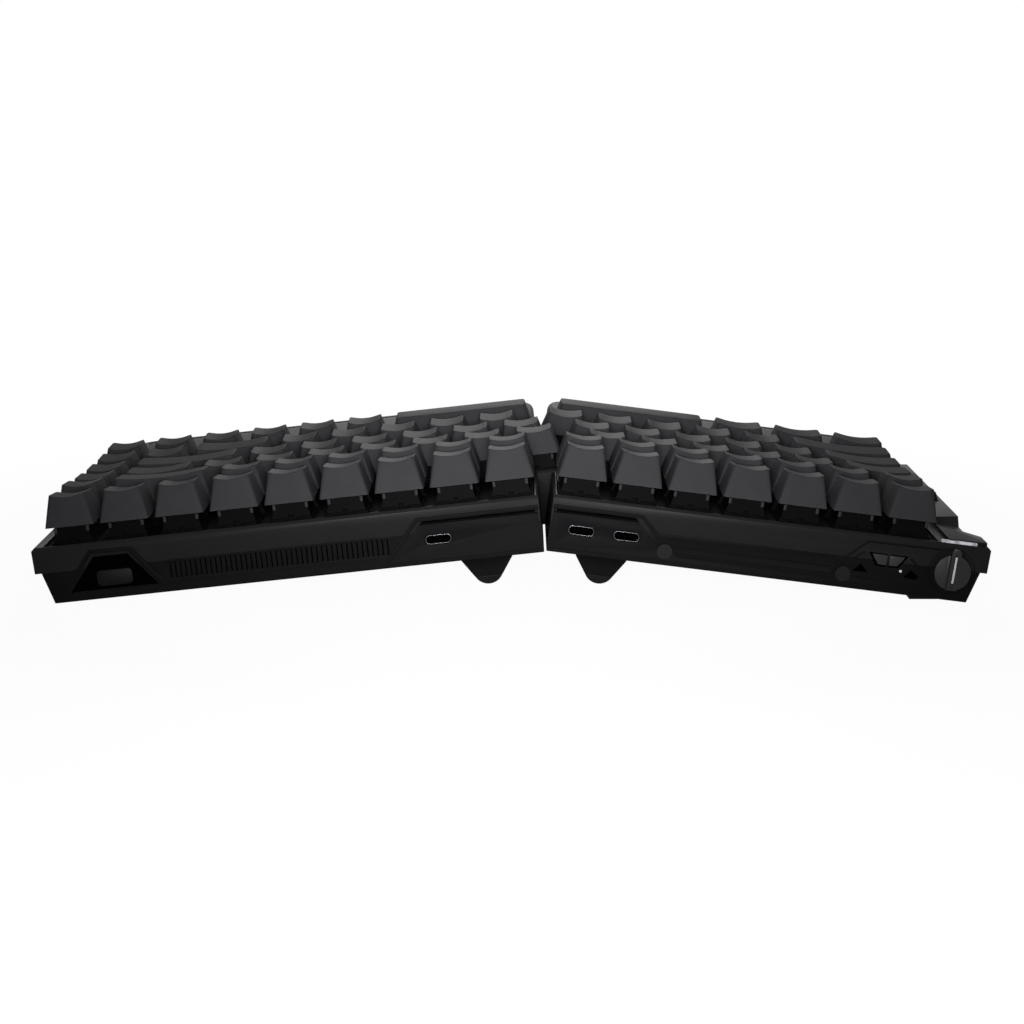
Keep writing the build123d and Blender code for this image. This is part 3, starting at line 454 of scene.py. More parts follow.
def run_tree(host_mesh, tree, values):
    """The plain mesh that a node tree makes from a mesh."""
    host = new_object("host", host_mesh)
    modifier = host.modifiers.new("tree", "NODES")
    modifier.node_group = tree
    idents = {i.name: i.identifier for i in tree.interface.items_tree if i.in_out == "INPUT"}
    for name, value in values.items():
        modifier[idents[name]] = value
    mesh = evaluated_mesh(host)
    bpy.data.objects.remove(host)
    return mesh


def repeated(shape_mesh, places, material):
    """A mesh of one shape repeated at each place, by geometry nodes."""
    shape = new_object("shape", shape_mesh)
    points = mesh_from(places, [])
    mesh = run_tree(points, repeat_tree(), {"Shape": shape, "Material": material})
    bpy.data.objects.remove(shape)
    return mesh


def bead_tree():
    """Geometry nodes that sweep a rounded bead along a flat path, rising from its plane."""
    name = "Bead along a path"
    if name in bpy.data.node_groups:
        return bpy.data.node_groups[name]
    tree, given = new_tree(
        name, {"Width": "Float", "Height": "Float", "Rounding": "Float", "Material": "Material"}
    )
    path = node(tree, "GeometryNodeMeshToCurve", {0: given["Geometry"]})
    level = node(tree, "GeometryNodeSetCurveNormal", {0: path.outputs[0]}, mode="Z_UP")
    section = node(
        tree, "GeometryNodeCurvePrimitiveQuadrilateral",
        {"Width": given["Width"], "Height": given["Height"]},
    )
    soft = node(
        tree, "GeometryNodeFilletCurve",
        {0: section.outputs[0], "Radius": given["Rounding"], "Count": 2}, mode="POLY",
    )
    swept = node(
        tree, "GeometryNodeCurveToMesh",
        {"Curve": level.outputs[0], "Profile Curve": soft.outputs[0], "Fill Caps": True},
    )
    return end_tree(tree, swept.outputs[0], given["Material"])


def rear_matrix(name, proud=0.0):
    """From a flat drawing in u and z to the rear wall of a half, in its own frame."""
    side, wall = HALVES[name]["side"], sizes().rear_wall + proud
    return Matrix(((side, 0, 0, 0), (0, 0, 1, wall), (0, 1, 0, 0), (0, 0, 0, 1)))


BEAD_ROUNDING_SHARE = 0.7


def bead(path, width, height, material):
    """A rounded bead along points in u and z, in millimetres, half sunk in the wall."""
    points = [(MM * u, MM * z, 0) for u, z in path]
    edges = [(i, i + 1) for i in range(len(points) - 1)]
    mesh = bpy.data.meshes.new("path")
    mesh.from_pydata(points, edges, [])
    values = {
        "Width": MM * width, "Height": 2 * MM * height,
        "Rounding": BEAD_ROUNDING_SHARE * MM * min(width / 2, height), "Material": material,
    }
    return run_tree(mesh, bead_tree(), values)


def inlay(outline, depth, height, bevel):
    """A flat plate with a bevelled edge, from points in u and z in millimetres."""
    made = bmesh.new()
    low = [made.verts.new((MM * u, MM * z, -MM * depth)) for u, z in outline]
    made.faces.new(low)
    top = bmesh.ops.extrude_face_region(made, geom=list(made.faces))
    raised = [v for v in top["geom"] if isinstance(v, bmesh.types.BMVert)]
    bmesh.ops.translate(made, verts=raised, vec=(0, 0, MM * (depth + height)))
    bmesh.ops.recalc_face_normals(made, faces=made.faces)
    rim = [e for e in made.edges if all(v in raised for v in e.verts)]
    bmesh.ops.bevel(made, geom=rim, offset=MM * bevel, segments=2, affect="EDGES", profile=0.5)
    mesh = bpy.data.meshes.new("inlay")
    made.to_mesh(mesh)
    made.free()
    return mesh


def round_ring(width, depth, radius, middle, corner_steps=5, side_steps=6):
    """Points round a rectangle with rounded corners, with extra points along its sides."""
    points = []
    reach_x, reach_y = width / 2 - radius, depth / 2 - radius
    for corner, (sx, sy) in enumerate(((1, 1), (-1, 1), (-1, -1), (1, -1))):
        for step in range(corner_steps + 1):
            turn = QUARTER * (corner + step / corner_steps)
            points.append((
                sx * reach_x + radius * math.cos(turn),
                middle + sy * reach_y + radius * math.sin(turn),
            ))
        if corner in (0, 2):
            for step in range(1, side_steps):
                along = 1 - 2 * step / side_steps
                points.append((sx * reach_x * along, middle + sy * (reach_y + radius)))
    return points


# Keycaps from this many units on are bars: crowned from rear to front instead of dished.
BAR_UNITS = 3
BAR_CROWN = 0.35 * MM
# The small chamfer at a keycap's foot, and the shares of its sides and top that carry a ring.
FOOT_CHAMFER = 0.1 * MM
FOOT_CHAMFER_SHARE = 0.012
SIDE_SHARES = (0.5, 0.96)
RIM_STEPS = 3
TOP_SHARES = (0.8, 0.55, 0.3)
# How much of two walls the hollow leaves standing at its roof.
ROOF_WALL_SHARE = 0.6


def cap_surface(units, row):
    """The dished top of a keycap as a height over each point, with its size and middle."""
    s = sizes()
    width = units * s.pitch - (s.pitch - s.cap_base) - 2 * s.cap_taper
    depth = s.cap_base - s.cap_rear_taper - s.cap_front_taper
    middle = (s.cap_front_taper - s.cap_rear_taper) / 2
    rear, front = REAR_HEIGHTS[row], FRONT_HEIGHTS[row]
    reach = width / 2
    bow = (reach ** 2 + s.cap_dish ** 2) / (2 * s.cap_dish)

    def height(x, y):
        lean = (rear + front) / 2 + (y - middle) * (rear - front) / depth
        if units < BAR_UNITS:
            sag = bow - math.sqrt(max(bow ** 2 - x ** 2, 0.0)) - s.cap_dish
        else:
            sag = -BAR_CROWN * ((y - middle) / (depth / 2)) ** 2
        return s.cap_bottom + lean + sag

    return height, width, depth, middle


def cap_mesh(units, row):
    """A hollow keycap with a rounded rim, built from stacked rings."""
    s = sizes()
    height, top_width, top_depth, middle = cap_surface(units, row)
    foot_width = units * s.pitch - (s.pitch - s.cap_base)

    def ring(outline, level):
        """An outline at one level or on a surface."""
        return [(x, y, level(x, y) if callable(level) else level) for x, y in outline]

    def between(share):
        """An outline part of the way up the leaning sides."""
        width = foot_width + (top_width - foot_width) * share
        depth = s.cap_base + (top_depth - s.cap_base) * share
        radius = s.cap_foot_radius + (s.cap_top_radius - s.cap_foot_radius) * share
        return round_ring(width, depth, radius, middle * share)

    roof = s.cap_bottom + min(REAR_HEIGHTS[row], FRONT_HEIGHTS[row]) - s.cap_roof
    foot_inset, roof_inset = 2 * s.cap_wall, ROOF_WALL_SHARE * s.cap_wall
    radius = s.cap_foot_radius / 2
    outlines = [
        ring(round_ring(top_width - roof_inset, top_depth - roof_inset, radius, middle), roof),
        ring(round_ring(foot_width - foot_inset, s.cap_base - foot_inset, radius, 0), s.cap_bottom),
        ring(between(0), s.cap_bottom),
        ring(between(FOOT_CHAMFER_SHARE), s.cap_bottom + FOOT_CHAMFER),
    ]
    for share in SIDE_SHARES:
        outlines.append([
            (x, y, s.cap_bottom + (height(top_x, top_y) - s.cap_rim - s.cap_bottom) * share)
            for (x, y), (top_x, top_y) in zip(between(share), between(1))
        ])
    for step in range(RIM_STEPS + 1):
        turn = QUARTER * step / RIM_STEPS
        inset = s.cap_rim * (1 - math.cos(turn))
        drop = s.cap_rim * (1 - math.sin(turn))
        outline = round_ring(
            top_width - 2 * inset, top_depth - 2 * inset, s.cap_top_radius - inset, middle
        )
        outlines.append(ring(outline, lambda x, y: height(x, y) - drop))
    flat_width, flat_depth = top_width - 2 * s.cap_rim, top_depth - 2 * s.cap_rim
    last = s.cap_top_radius - s.cap_rim
    for share in TOP_SHARES:
        outline = round_ring(flat_width * share, flat_depth * share, last * share, middle)
        outlines.append(ring(outline, height))
    points, rings = stacked(outlines)
    faces = bridge(rings)
    for loop, level, flip in ((rings[-1], height(0, middle), False), (rings[0], roof, True)):
        centre = len(points)
        points.append((0, middle, level))
        for here, there in zip(loop, loop[1:] + loop[:1]):
            faces.append((there, here, centre) if flip else (here, there, centre))
    return mesh_from(points, faces, "cap")


def post_mesh(width, depth, bottom, top, radius=0.2 * MM):
    """An upright post with rounded corners."""
    outline = round_ring(width, depth, radius, 0, 2, 1)
    return lofted([[(x, y, level) for x, y in outline] for level in (bottom, top)], "post")


# Legends: arrows by their turn in degrees, and how letters are set.
ARROWS = {"up": 90, "left": 180, "down": 270, "right": 0}
ARROW = [(1.3, 0), (-0.7, 1.1), (-0.7, -1.1)]
LEGEND_PROUD = 0.03 * MM
LEGEND_BACK = 1.2 * MM
WORD_LENGTH = 3
WORD_SHARE = 0.72


def legend_mesh(text, units, row):
    """A legend laid on the dished top of its keycap."""
    s = sizes()
    height, _, _, middle = cap_surface(units, row)
    if text in ARROWS:
        turn = Matrix.Rotation(math.radians(ARROWS[text]), 2)
        flat = [MM * (turn @ Vector(corner)) for corner in ARROW]
        points = [(x, y + middle, height(x, y + middle) + LEGEND_PROUD) for x, y in flat]
        return mesh_from(points, [(0, 1, 2)], "legend")
    curve = bpy.data.curves.new("legend", "FONT")
    curve.body = text
    curve.size = s.legend_size if len(text) < WORD_LENGTH else s.legend_size * WORD_SHARE
    curve.align_x = "CENTER"
    curve.align_y = "CENTER"
    curve.resolution_u = 3
    holder = new_object("legend", curve)
    mesh = evaluated_mesh(holder)
    bpy.data.objects.remove(holder)
    bpy.data.curves.remove(curve)
    back = LEGEND_BACK if units < STABILIZED_UNITS else 0
    for vertex in mesh.vertices:
        x, y = vertex.co.x, vertex.co.y + middle + back
        vertex.co = (x, y, height(x, y) + LEGEND_PROUD)
    return mesh


def key_places(name):
    """Each key's bank, row, units, legend and centre in the half's flat frame."""
    s, half = sizes(), HALVES[name]
    for row, keys in enumerate(half["keys"]):
        edge = half["starts"][row] * s.pitch
        for bank, units, text in keys:
            width = units * s.pitch
            middle = half["side"] * (edge + width / 2)
            yield bank, row, units, text, (middle, -(row + 0.5) * s.pitch)
            edge += width


# Keycaps from this many units on have a stabiliser, with a stem this far out on each side.
STABILIZED_UNITS = 2
STABILIZER_REACH = 11.94 * MM
BAR_STABILIZER_REACH = 19.05 * MM
# Under a keycap: the slider, the inserts of the stabilisers and the round boss that takes them.
SLIDER_WIDTH, SLIDER_DEPTH, SLIDER_DROP = 7.0 * MM, 5.6 * MM, 6.8 * MM
INSERT_WIDTH, INSERT_DROP = 4.2 * MM, 7.2 * MM
STEM_PROUD = 0.2 * MM
BOSS_RADIUS, BOSS_SIDES, BOSS_RISE = 2.7 * MM, 12, 6.2 * MM


def stabilizer_reaches(units):
    """How far to each side a keycap's stabiliser stems stand."""
    if units < STABILIZED_UNITS:
        return ()
    reach = STABILIZER_REACH if units < BAR_UNITS else BAR_STABILIZER_REACH
    return (-reach, reach)


def boss_mesh(bottom, top):
    """The round boss under a keycap, from the stem up into the cap."""
    outline = circle(BOSS_SIDES, BOSS_RADIUS)
    return lofted([[(x, y, level) for x, y in outline] for level in (bottom, top)], "boss")


CAP_FINISHES = ("keycap_plastic", "legend", "switch_plastic")


class KEYBOARD_OT_keycaps(bpy.types.Operator):
    """Keycaps of every bank, with their stems and legends"""

    bl_idname = "keyboard.keycaps"
    bl_label = "Keycaps"

    def execute(self, context):
        s, finish = sizes(), materials()
        caps, flat = {}, Matrix.Identity(4)
        top = s.switch_top + STEM_PROUD
        stem = post_mesh(SLIDER_WIDTH, SLIDER_DEPTH, s.switch_top - SLIDER_DROP, top)
        insert = post_mesh(INSERT_WIDTH, INSERT_WIDTH, s.switch_top - INSERT_DROP, top)
        boss = boss_mesh(top, s.cap_bottom + BOSS_RISE)
        for name in HALVES:
            banks = {}
            for bank, row, units, text, place in key_places(name):
                banks.setdefault(bank, {}).setdefault((units, row), []).append((text, place))
            for bank, kinds in banks.items():
                parts = []
                for (units, row), keys in kinds.items():
                    if (units, row) not in caps:
                        caps[units, row] = cap_mesh(units, row)
                    spots = [(x, y, 0) for _, (x, y) in keys]
                    reaches = stabilizer_reaches(units)
                    sides = [(x + reach, y, 0) for x, y, _ in spots for reach in reaches]
                    for shape, places, use in (
                        (caps[units, row], spots, "keycap_plastic"),
                        (stem, spots, "switch_plastic"),
                        (boss, spots + sides, "keycap_plastic"),
                        (insert, sides, "switch_plastic"),
                    ):
                        if places:
                            copies = repeated(shape.copy(), places, finish[use])
                            parts.append((copies, flat, CAP_FINISHES.index(use)))
                    for text, (x, y) in keys:
                        if text:
                            place = Matrix.Translation((x, y, 0))
                            mark = legend_mesh(text, units, row)
                            parts.append((mark, place, CAP_FINISHES.index("legend")))
                mesh = join_meshes(bank + "_caps", parts, [finish[use] for use in CAP_FINISHES])
                piece = placed(mesh, bank + "_caps", name)
                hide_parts(bank)
                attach(piece, bank)
        return {"FINISHED"}


# Rounding of the CAD pieces: what counts as one point, as flat, as an edge and as sharp.
MERGE_DISTANCE = 0.002 * MM
FLAT_ANGLE = math.radians(0.6)
EDGE_ANGLE = math.radians(32)
SHELL_SHARP_ANGLE = 40
# How much of a socket's front stays bare metal.
RIM_DEPTH = 0.1 * MM


def eased(source, name, width):
    """A copy of a CAD node with merged faces and rounded edges, as a new piece."""
    mesh = frame["nodes"][source].data.copy()
    mesh.name = name
    mesh.materials.clear()
    made = bmesh.new()
    made.from_mesh(mesh)
    bmesh.ops.remove_doubles(made, verts=made.verts, dist=MERGE_DISTANCE)
    bmesh.ops.dissolve_limit(made, angle_limit=FLAT_ANGLE, verts=made.verts, edges=made.edges)
    made.to_mesh(mesh)
    made.free()
    piece = new_object(name, mesh)
    bevel = piece.modifiers.new("bevel", "BEVEL")
    bevel.width = width
    bevel.segments = 2
    bevel.limit_method = "ANGLE"
    bevel.angle_limit = EDGE_ANGLE
    bevel.use_clamp_overlap = True
    bevel.loop_slide = True
    result = evaluated_mesh(piece)
    piece.modifiers.clear()
    piece.data = result
    soften(result, SHELL_SHARP_ANGLE)
    return piece


class KEYBOARD_OT_shells(bpy.types.Operator):
    """Cases, rims, feet and controls with their moulded edges rounded"""

    bl_idname = "keyboard.shells"
    bl_label = "Shells and controls"

    def execute(self, context):
        finish, s = materials(), sizes()
        fine, coarse = s.edge_round, 1.6 * s.edge_round
        rounding = {
            "mode_dial": fine, "control_wheel": fine / 2, "control_button": coarse,
            "left_side_rail": fine, "right_rear_badge": fine,
        }
        for part, width in (
            ("top_frame", fine), ("bottom_case", fine), ("palm_rest_base", coarse),
            ("rubber_pads", fine), ("usb_sockets", fine / 2),
        ):
            for name in HALVES:
                rounding[f"{name}_{part}"] = width
        for name in HALVES:
            for end in ("rear", "front"):
                rounding[f"{name}_{end}_foot"] = fine
                rounding[f"{name}_{end}_foot_tip"] = fine
        bodies = frame["record"]["behaviour"]["bodies"]
        body_of = {source: body for body, sources in bodies.items() for source in sources}
        for source, width in rounding.items():
            piece = eased(source, source + "_shell", width)
            piece.data.materials.append(finish[SLOTS[source]])
            # The inside of a socket gets painted shade.
            if source.endswith("sockets"):
                self.paint_socket_shade(piece.data, finish["recess"])
            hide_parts(source)
            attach(piece, body_of[source])
        return {"FINISHED"}

    def paint_socket_shade(self, mesh, dark):
        """Paints the shade inside a socket: all but its foremost rim gets the flat black of painted
        shade.
        """
        mesh.materials.append(dark)
        front = max(v.co.y for v in mesh.vertices)
        for face in mesh.polygons:
            face.material_index = int(face.center.y < front - RIM_DEPTH)


# Rear wall dressing in u and z, in millimetres. A bead is its path, width, height and finish.
# The recess finish is painted shade: a flat black laid where grooves and sunk fields hold shade.
TRIM_FINISHES = SHELL, PAINTED_SHADE, PANE, LENS = ("case_plastic", "recess", "pane", "clear_plastic")
BEADS = {
    "left": [
        ([(0.8, 16.0), (31.6, 16.0), (39.4, 8.0)], 1.4, 0.35, SHELL),
        ([(41.4, 10.0), (98.6, 10.3)], 0.5, 0.3, SHELL),
        ([(43.2, 6.7), (97.6, 6.9)], 0.5, 0.3, SHELL),
        ([(44.4, 4.2), (97.6, 4.3)], 0.6, 0.3, SHELL),
        ([(99.0, 7.6), (109.5, 17.2), (134.9, 17.4)], 0.7, 0.3, SHELL),
        ([(102.9, 8.4), (108.8, 13.6)], 0.5, 0.3, SHELL),
        ([(124.9, 13.0), (132.8, 5.3)], 0.7, 0.3, SHELL),
        ([(105.4, 4.3), (132.4, 3.6)], 0.6, 0.3, SHELL),
        ([(105.2, 2.4), (132.4, 2.0)], 0.6, 0.3, SHELL),
    ],
    "right": [
        ([(0.8, 16.0), (42.6, 15.9), (54.4, 1.9)], 1.5, 0.35, SHELL),
        ([(56.4, 10.9), (130.2, 10.9)], 0.5, 0.3, SHELL),
        ([(57.0, 3.4), (130.8, 3.4)], 0.7, 0.35, SHELL),
        ([(131.2, 2.9), (142.1, 16.6), (155.6, 16.8), (166.6, 2.5)], 1.6, 0.35, SHELL),
        # A groove of painted shade inside the badge's bead.
        ([(134.0, 3.2), (142.9, 14.7), (154.6, 14.8), (163.9, 3.0)], 0.6, 0.1, PAINTED_SHADE),
        ([(164.6, 5.0), (169.4, 5.0)], 0.5, 0.25, SHELL),
    ],
}
# An inlay is its outline, its level over the wall, its bevel and its finish.
INLAY_DEPTH = 0.6
INLAY_BEVEL = 0.18
WINDOW = [(110.1, 13.4), (110.6, 13.8), (123.8, 13.8), (124.3, 13.4), (121.2, 8.9), (113.2, 8.9)]
LEFT_PANE = [(111.6, 13.2), (116.8, 13.2), (116.8, 9.6), (113.9, 9.7), (112.3, 11.8)]
RIGHT_PANE = [(117.6, 13.2), (122.8, 13.2), (122.1, 11.8), (120.5, 9.7), (117.6, 9.6)]
LEFT_VENT = [(105.5, 6.4), (108.1, 9.3), (110.7, 6.3)]
RIGHT_VENT = [(123.2, 6.2), (125.5, 9.0), (128.3, 7.0), (127.5, 5.7)]
DOT = circle(12, 0.45, (122.0, 8.2))
RIB_FIELD = [(53.2, 4.7), (130.6, 4.7), (130.6, 10.5), (53.2, 10.5)]
BADGE_FIELD = [(164.0, 3.2), (154.6, 14.6), (142.9, 14.6), (133.9, 3.2)]
# The window's groove, the vents, the rib field and the badge field are laid in painted shade.
INLAYS = {
    "left": [
        (WINDOW, -0.45, 0.02, PAINTED_SHADE),
        (LEFT_PANE, 0.1, 0.15, PANE),
        (RIGHT_PANE, 0.1, 0.15, PANE),
        (LEFT_VENT, 0.05, 0.02, PAINTED_SHADE),
        (RIGHT_VENT, 0.05, 0.02, PAINTED_SHADE),
        (DOT, 0.15, 0.1, LENS),
    ],
    "right": [
        (RIB_FIELD, -0.3, 0.02, PAINTED_SHADE),
        (BADGE_FIELD, -0.33, 0.02, PAINTED_SHADE),
    ],
}
# Upright ribs in the long field of the right wall: first place, pitch, count and one rib's outline.
RIB_START, RIB_PITCH, RIB_COUNT = 54.1, 1.75, 44
RIB_PROUD = 0.1
RIB = [(-0.4, 4.9), (0.4, 4.9), (0.4, 10.3), (-0.4, 10.3)]
# The painted line on the mode dial's grip.
DIAL_MARK = [(139.05, 7.0), (139.75, 7.0), (139.75, 16.2), (139.05, 16.2)]
DIAL_MARK_LEVEL = 3.72
DIAL_MARK_DEPTH = 0.25
DIAL_MARK_BEVEL = 0.04


class KEYBOARD_OT_rear_trim(bpy.types.Operator):
    """Beads, ribs, windows and the indicator of the rear walls, and the dial's line"""

    bl_idname = "keyboard.rear_trim"
    bl_label = "Rear trim"

    def execute(self, context):
        finish = materials()
        for name in HALVES:
            wall = rear_matrix(name)
            parts = [
                (bead(path, width, height, finish[use]), wall, TRIM_FINISHES.index(use))
                for path, width, height, use in BEADS[name]
            ]
            parts += [
                (inlay(outline, INLAY_DEPTH, height, bevel), wall, TRIM_FINISHES.index(use))
                for outline, height, bevel, use in INLAYS[name]
            ]
            if name == "right":
                spots = [(MM * (RIB_START + RIB_PITCH * i), 0, 0) for i in range(RIB_COUNT)]
                rib = inlay(RIB, INLAY_DEPTH, RIB_PROUD, INLAY_BEVEL)
                ribs = repeated(rib, spots, finish[SHELL])
                parts.append((ribs, wall, TRIM_FINISHES.index(SHELL)))
            mesh = join_meshes(name + "_rear_trim", parts, [finish[use] for use in TRIM_FINISHES])
            self.attach(mesh, name + "_rear_trim", name, name + "_half", "case_plastic")
        line = inlay(DIAL_MARK, DIAL_MARK_DEPTH, 0, DIAL_MARK_BEVEL)
        grip = rear_matrix("left", MM * DIAL_MARK_LEVEL)
        mesh = join_meshes("mode_dial_mark", [(line, grip, 0)], [finish["mark"]])
        self.attach(mesh, "mode_dial_mark", "left", "mode_dial", "dial_plastic")
        return {"FINISHED"}

    def attach(self, mesh, name, half, body, slot):
        """Sets a trim mesh in its place on a half and hands it to its body."""
        piece = placed(mesh, name, half)
        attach(piece, body)


# Details of a switch housing: width, depth, bottom and top, and how far out in x and y they stand.
# Rails and latches are measured from the plate up, clips from the top of the housing.
RAIL = (5.2, 0.7, 0.0, 1.5, 4.5, 7.35)
LATCH = (1.8, 1.0, 0.0, 2.3, 0.0, 7.3)
CLIP = (1.1, 0.9, -2.2, -0.4, 5.6, 5.9)


def detail(numbers, level, side, way):
    """One detail of a switch housing, in its place round the switch's middle."""
    width, depth, bottom, top, out_x, out_y = (MM * number for number in numbers)
    place = Matrix.Translation((side * out_x, way * out_y, 0))
    return post_mesh(width, depth, level + bottom, level + top), place, 0


class KEYBOARD_OT_switches(bpy.types.Operator):
    """Latches, rails and clips of the switch housings between the caps and the plate"""

    bl_idname = "keyboard.switches"
    bl_label = "Switch details"

    def execute(self, context):
        s, finish, flat = sizes(), materials(), Matrix.Identity(4)
        housing, nylon = finish["switch_plastic"], finish["clip"]
        for name in HALVES:
            spots = [(x, y, 0) for _, _, _, _, (x, y) in key_places(name)]
            rails, clips = [], []
            for way in (-1, 1):
                for side in (-1, 1):
                    rails.append(detail(RAIL, s.plate_top, side, way))
                    clips.append(detail(CLIP, s.switch_top, side, way))
                rails.append(detail(LATCH, s.plate_top, 0, way))
            parts = [
                (repeated(join_meshes("detail", shapes, []), spots, material), flat, index)
                for index, (shapes, material) in enumerate(((rails, housing), (clips, nylon)))
            ]
            mesh = join_meshes(name + "_switch_details", parts, [housing, nylon])
            piece = placed(mesh, name + "_switch_details", name)
            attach(piece, name + "_half")
        return {"FINISHED"}


# Palm rest tops, in a half's flat frame: how far out they reach, their edges, levels and corners.
PALM_INNER = 0.9 * MM
PALM_OUTER = {"left": 145.45 * MM, "right": 175.1 * MM}
PALM_REAR, PALM_FRONT = 119.1 * MM, 186.1 * MM
PALM_BOTTOM, PALM_TOP = 14.0 * MM, 21.6 * MM
PALM_CORNER, PALM_LEAST_CORNER = 8.5 * MM, 1.2 * MM
PALM_TURN, PALM_TURN_STEPS = 3.4 * MM, 6
# How far below the crown the rounded edge ends.
PALM_EDGE_DROP = 0.4 * MM
# The moulded channel and the crown: inset from the edge and drop below the top, in millimetres.
PALM_CHANNEL = ((5.4, 0.36), (6.0, 0.62), (6.6, 1.0), (7.2, 0.62), (7.8, 0.3))
PALM_CROWN = ((12, 0.2), (18, 0.1), (24, 0.03), (30, 0.0))


def palm_mesh(name):
    """The crowned soft top of a palm rest with a moulded channel round it."""
    side, outer = HALVES[name]["side"], PALM_OUTER[name]
    width, depth = outer - PALM_INNER, PALM_FRONT - PALM_REAR
    edge = PALM_TOP - PALM_EDGE_DROP
    levels = [(0.0, PALM_BOTTOM), (0.0, edge - PALM_TURN)]
    for step in range(1, PALM_TURN_STEPS + 1):
        turn = QUARTER * step / PALM_TURN_STEPS
        levels.append((PALM_TURN * (1 - math.cos(turn)), edge - PALM_TURN * (1 - math.sin(turn))))
    levels += [(MM * inset, PALM_TOP - MM * drop) for inset, drop in PALM_CHANNEL + PALM_CROWN]
    outlines = []
    for inset, level in levels:
        radius = max(PALM_CORNER - inset, PALM_LEAST_CORNER)
        ring = round_ring(width - 2 * inset, depth - 2 * inset, radius, 0, 8, 12)
        outlines.append([(x, y, level) for x, y in ring])
    mesh = lofted(outlines, name + "_palm_rest_top")
    middle = (side * (PALM_INNER + outer) / 2, -(PALM_REAR + PALM_FRONT) / 2, 0)
    mesh.transform(Matrix.Translation(middle))
    return mesh


class KEYBOARD_OT_palm_tops(bpy.types.Operator):
    """Soft-touch tops of the palm rests"""

    bl_idname = "keyboard.palm_tops"
    bl_label = "Palm rest tops"

    def execute(self, context):
        finish = materials()
        for name in HALVES:
            mesh = palm_mesh(name)
            mesh.materials.append(finish["pad_rubber"])
            piece = placed(mesh, name + "_palm_rest_top", name)
            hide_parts(name + "_palm_pad")
            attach(piece, name + "_half")
        return {"FINISHED"}


class KEYBOARD_OT_finishes(bpy.types.Operator):
    """Finishes of the frame's own pieces that keep their shape"""

    bl_idname = "keyboard.finishes"
    bl_label = "Finishes"

    def execute(self, context):
        finish = materials()
        for name, obj in frame["nodes"].items():
            obj.data.materials.clear()
            obj.data.materials.append(finish[SLOTS[name]])
        return {"FINISHED"}


def seen_rays(tree):
    """One for the rays that show the white surroundings, zero for those that light the part."""
    rays = node(tree, "ShaderNodeLightPath")
    seen = rays.outputs["Is Camera Ray"]
    for kind in ("Is Glossy Ray", "Is Transmission Ray"):
        both = node(tree, "ShaderNodeMath", {0: seen, 1: rays.outputs[kind]}, operation="MAXIMUM")
        seen = both.outputs[0]
    return seen


WHITE = (1, 1, 1, 1)
# The floor's reach, tone and glow, and where it turns to plain white.
FLOOR_REACH = 6
FLOOR_TONE = "#9c9c9c"
FLOOR_GLOW = 1.11
WHITE_FROM, WHITE_TO = 0.2, 0.7
NEAR_SHARE = 0.86
# Light of the surroundings on the part, and the lamps: place, target, size, power and spread.
AMBIENT = 0.08
LAMPS = {
    "overhead": ((0, 0.05, 0.6), (0, 0, 0.02), 0.25, 0.12, 180),
    "behind": ((0, 0.5, 0.13), (0, 0.09, 0.04), 0.1, 0.4, 60),
    "front": ((0, -0.7, 0.35), (0, -0.03, 0.03), 0.35, 3.6, 180),
}
# The camera: place, focal length in image widths, and its turns in degrees.
CAMERA_PLACE = (-0.0029, 0.7252, 0.1798)
CAMERA_FOCUS = 1903.24 / 1024
CAMERA_PITCH, CAMERA_YAW = 13.06, -0.22


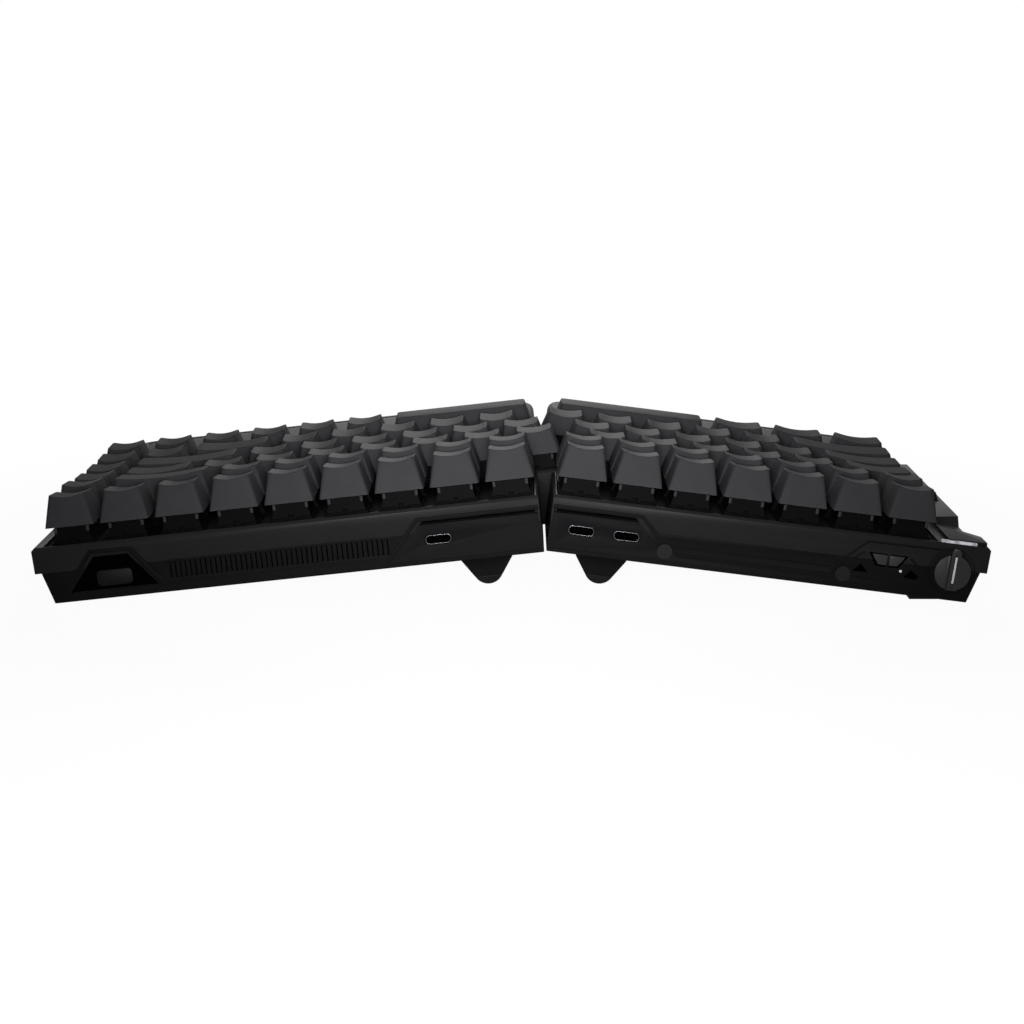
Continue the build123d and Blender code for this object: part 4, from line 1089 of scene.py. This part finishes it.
class KEYBOARD_OT_stage(bpy.types.Operator):
    """Floor, soft studio light and the camera"""

    bl_idname = "keyboard.stage"
    bl_label = "Stage"

    def execute(self, context):
        scene = context.scene
        scene.view_settings.view_transform = "Standard"
        sides = ((-1, -1), (1, -1), (1, 1), (-1, 1))
        corners = [(FLOOR_REACH * x, FLOOR_REACH * y, 0) for x, y in sides]
        floor = new_object("floor", mesh_from(corners, [(0, 1, 2, 3)], "floor"))
        paper, tree = blank_material("floor paper")
        lit = node(tree, "ShaderNodeBsdfDiffuse", {"Color": linear(FLOOR_TONE)})
        glow = node(tree, "ShaderNodeEmission", {"Color": WHITE, "Strength": FLOOR_GLOW})
        # The paper turns to plain white away from the keyboard, so that no edge of it shows.
        place = node(tree, "ShaderNodeTexCoord").outputs["Object"]
        reach = node(tree, "ShaderNodeVectorMath", {0: place}, operation="LENGTH").outputs["Value"]
        white = node(
            tree, "ShaderNodeMapRange",
            {0: reach, 1: WHITE_FROM, 2: WHITE_TO, 3: NEAR_SHARE, 4: 1.0},
        )
        share = node(
            tree, "ShaderNodeMath", {0: seen_rays(tree), 1: white.outputs[0]}, operation="MULTIPLY"
        )
        mixed = node(
            tree, "ShaderNodeMixShader", {0: share.outputs[0], 1: lit.outputs[0], 2: glow.outputs[0]}
        )
        node(tree, "ShaderNodeOutputMaterial", {0: mixed.outputs[0]})
        floor.data.materials.append(paper)

        world = bpy.data.worlds.new("studio")
        scene.world = world
        world.use_nodes = True
        tree = world.node_tree
        tree.nodes.clear()
        strength = node(tree, "ShaderNodeMapRange", {0: seen_rays(tree), 3: AMBIENT, 4: 1.0})
        sky = node(tree, "ShaderNodeBackground", {"Color": WHITE, "Strength": strength.outputs[0]})
        node(tree, "ShaderNodeOutputWorld", {0: sky.outputs[0]})

        for name, numbers in LAMPS.items():
            self.lamp(name, *numbers)

        lens = bpy.data.cameras.new("camera")
        camera = new_object("camera", lens)
        scene.camera = camera
        lens.sensor_width = 36
        lens.lens = lens.sensor_width * CAMERA_FOCUS
        camera.location = CAMERA_PLACE
        pitch, yaw = math.radians(CAMERA_PITCH), math.radians(CAMERA_YAW)
        ahead = Vector((
            -math.sin(yaw) * math.cos(pitch), -math.cos(yaw) * math.cos(pitch), -math.sin(pitch),
        ))
        camera.rotation_mode = "QUATERNION"
        camera.rotation_quaternion = ahead.to_track_quat("-Z", "Y")
        return {"FINISHED"}

    def lamp(self, name, place, target, size, power, spread):
        """A square soft box, with a grid that narrows its spread in degrees."""
        data = bpy.data.lights.new(name, "AREA")
        data.size = size
        data.energy = power
        data.spread = math.radians(spread)
        light = new_object(name, data)
        light.location = place
        light.rotation_mode = "QUATERNION"
        light.rotation_quaternion = (Vector(target) - Vector(place)).to_track_quat("-Z", "Y")


class KEYBOARD_PT_panel(bpy.types.Panel):
    """Lists the pieces of the keyboard and their sizes"""

    bl_idname = "KEYBOARD_PT_panel"
    bl_label = "Split keyboard"
    bl_space_type = "VIEW_3D"
    bl_region_type = "UI"
    bl_category = "Keyboard"

    def draw(self, context):
        for operator in PIECES:
            self.layout.operator(operator.bl_idname)
        for group in (context.scene.keyboard_sizes, context.scene.keyboard_colours):
            box = self.layout.box()
            for name in group.__annotations__:
                box.prop(group, name)


PIECES = (
    KEYBOARD_OT_finishes,
    KEYBOARD_OT_shells,
    KEYBOARD_OT_rear_trim,
    KEYBOARD_OT_switches,
    KEYBOARD_OT_keycaps,
    KEYBOARD_OT_palm_tops,
    KEYBOARD_OT_stage,
)
CLASSES = (KeyboardSizes, KeyboardColours, *PIECES, KEYBOARD_PT_panel)


def register():
    """Adds the keyboard's classes and its panel to Blender."""
    for kind in CLASSES:
        bpy.utils.register_class(kind)
    bpy.types.Scene.keyboard_sizes = PointerProperty(type=KeyboardSizes)
    bpy.types.Scene.keyboard_colours = PointerProperty(type=KeyboardColours)


def unregister():
    """Takes them out again."""
    del bpy.types.Scene.keyboard_sizes
    del bpy.types.Scene.keyboard_colours
    for kind in reversed(CLASSES):
        bpy.utils.unregister_class(kind)


def main():
    """Dresses the frame piece by piece."""
    register()
    for operator in PIECES:
        group, call = operator.bl_idname.split(".")
        getattr(getattr(bpy.ops, group), call)()
    bpy.context.view_layer.update()


if __name__ == "__main__":
    main()
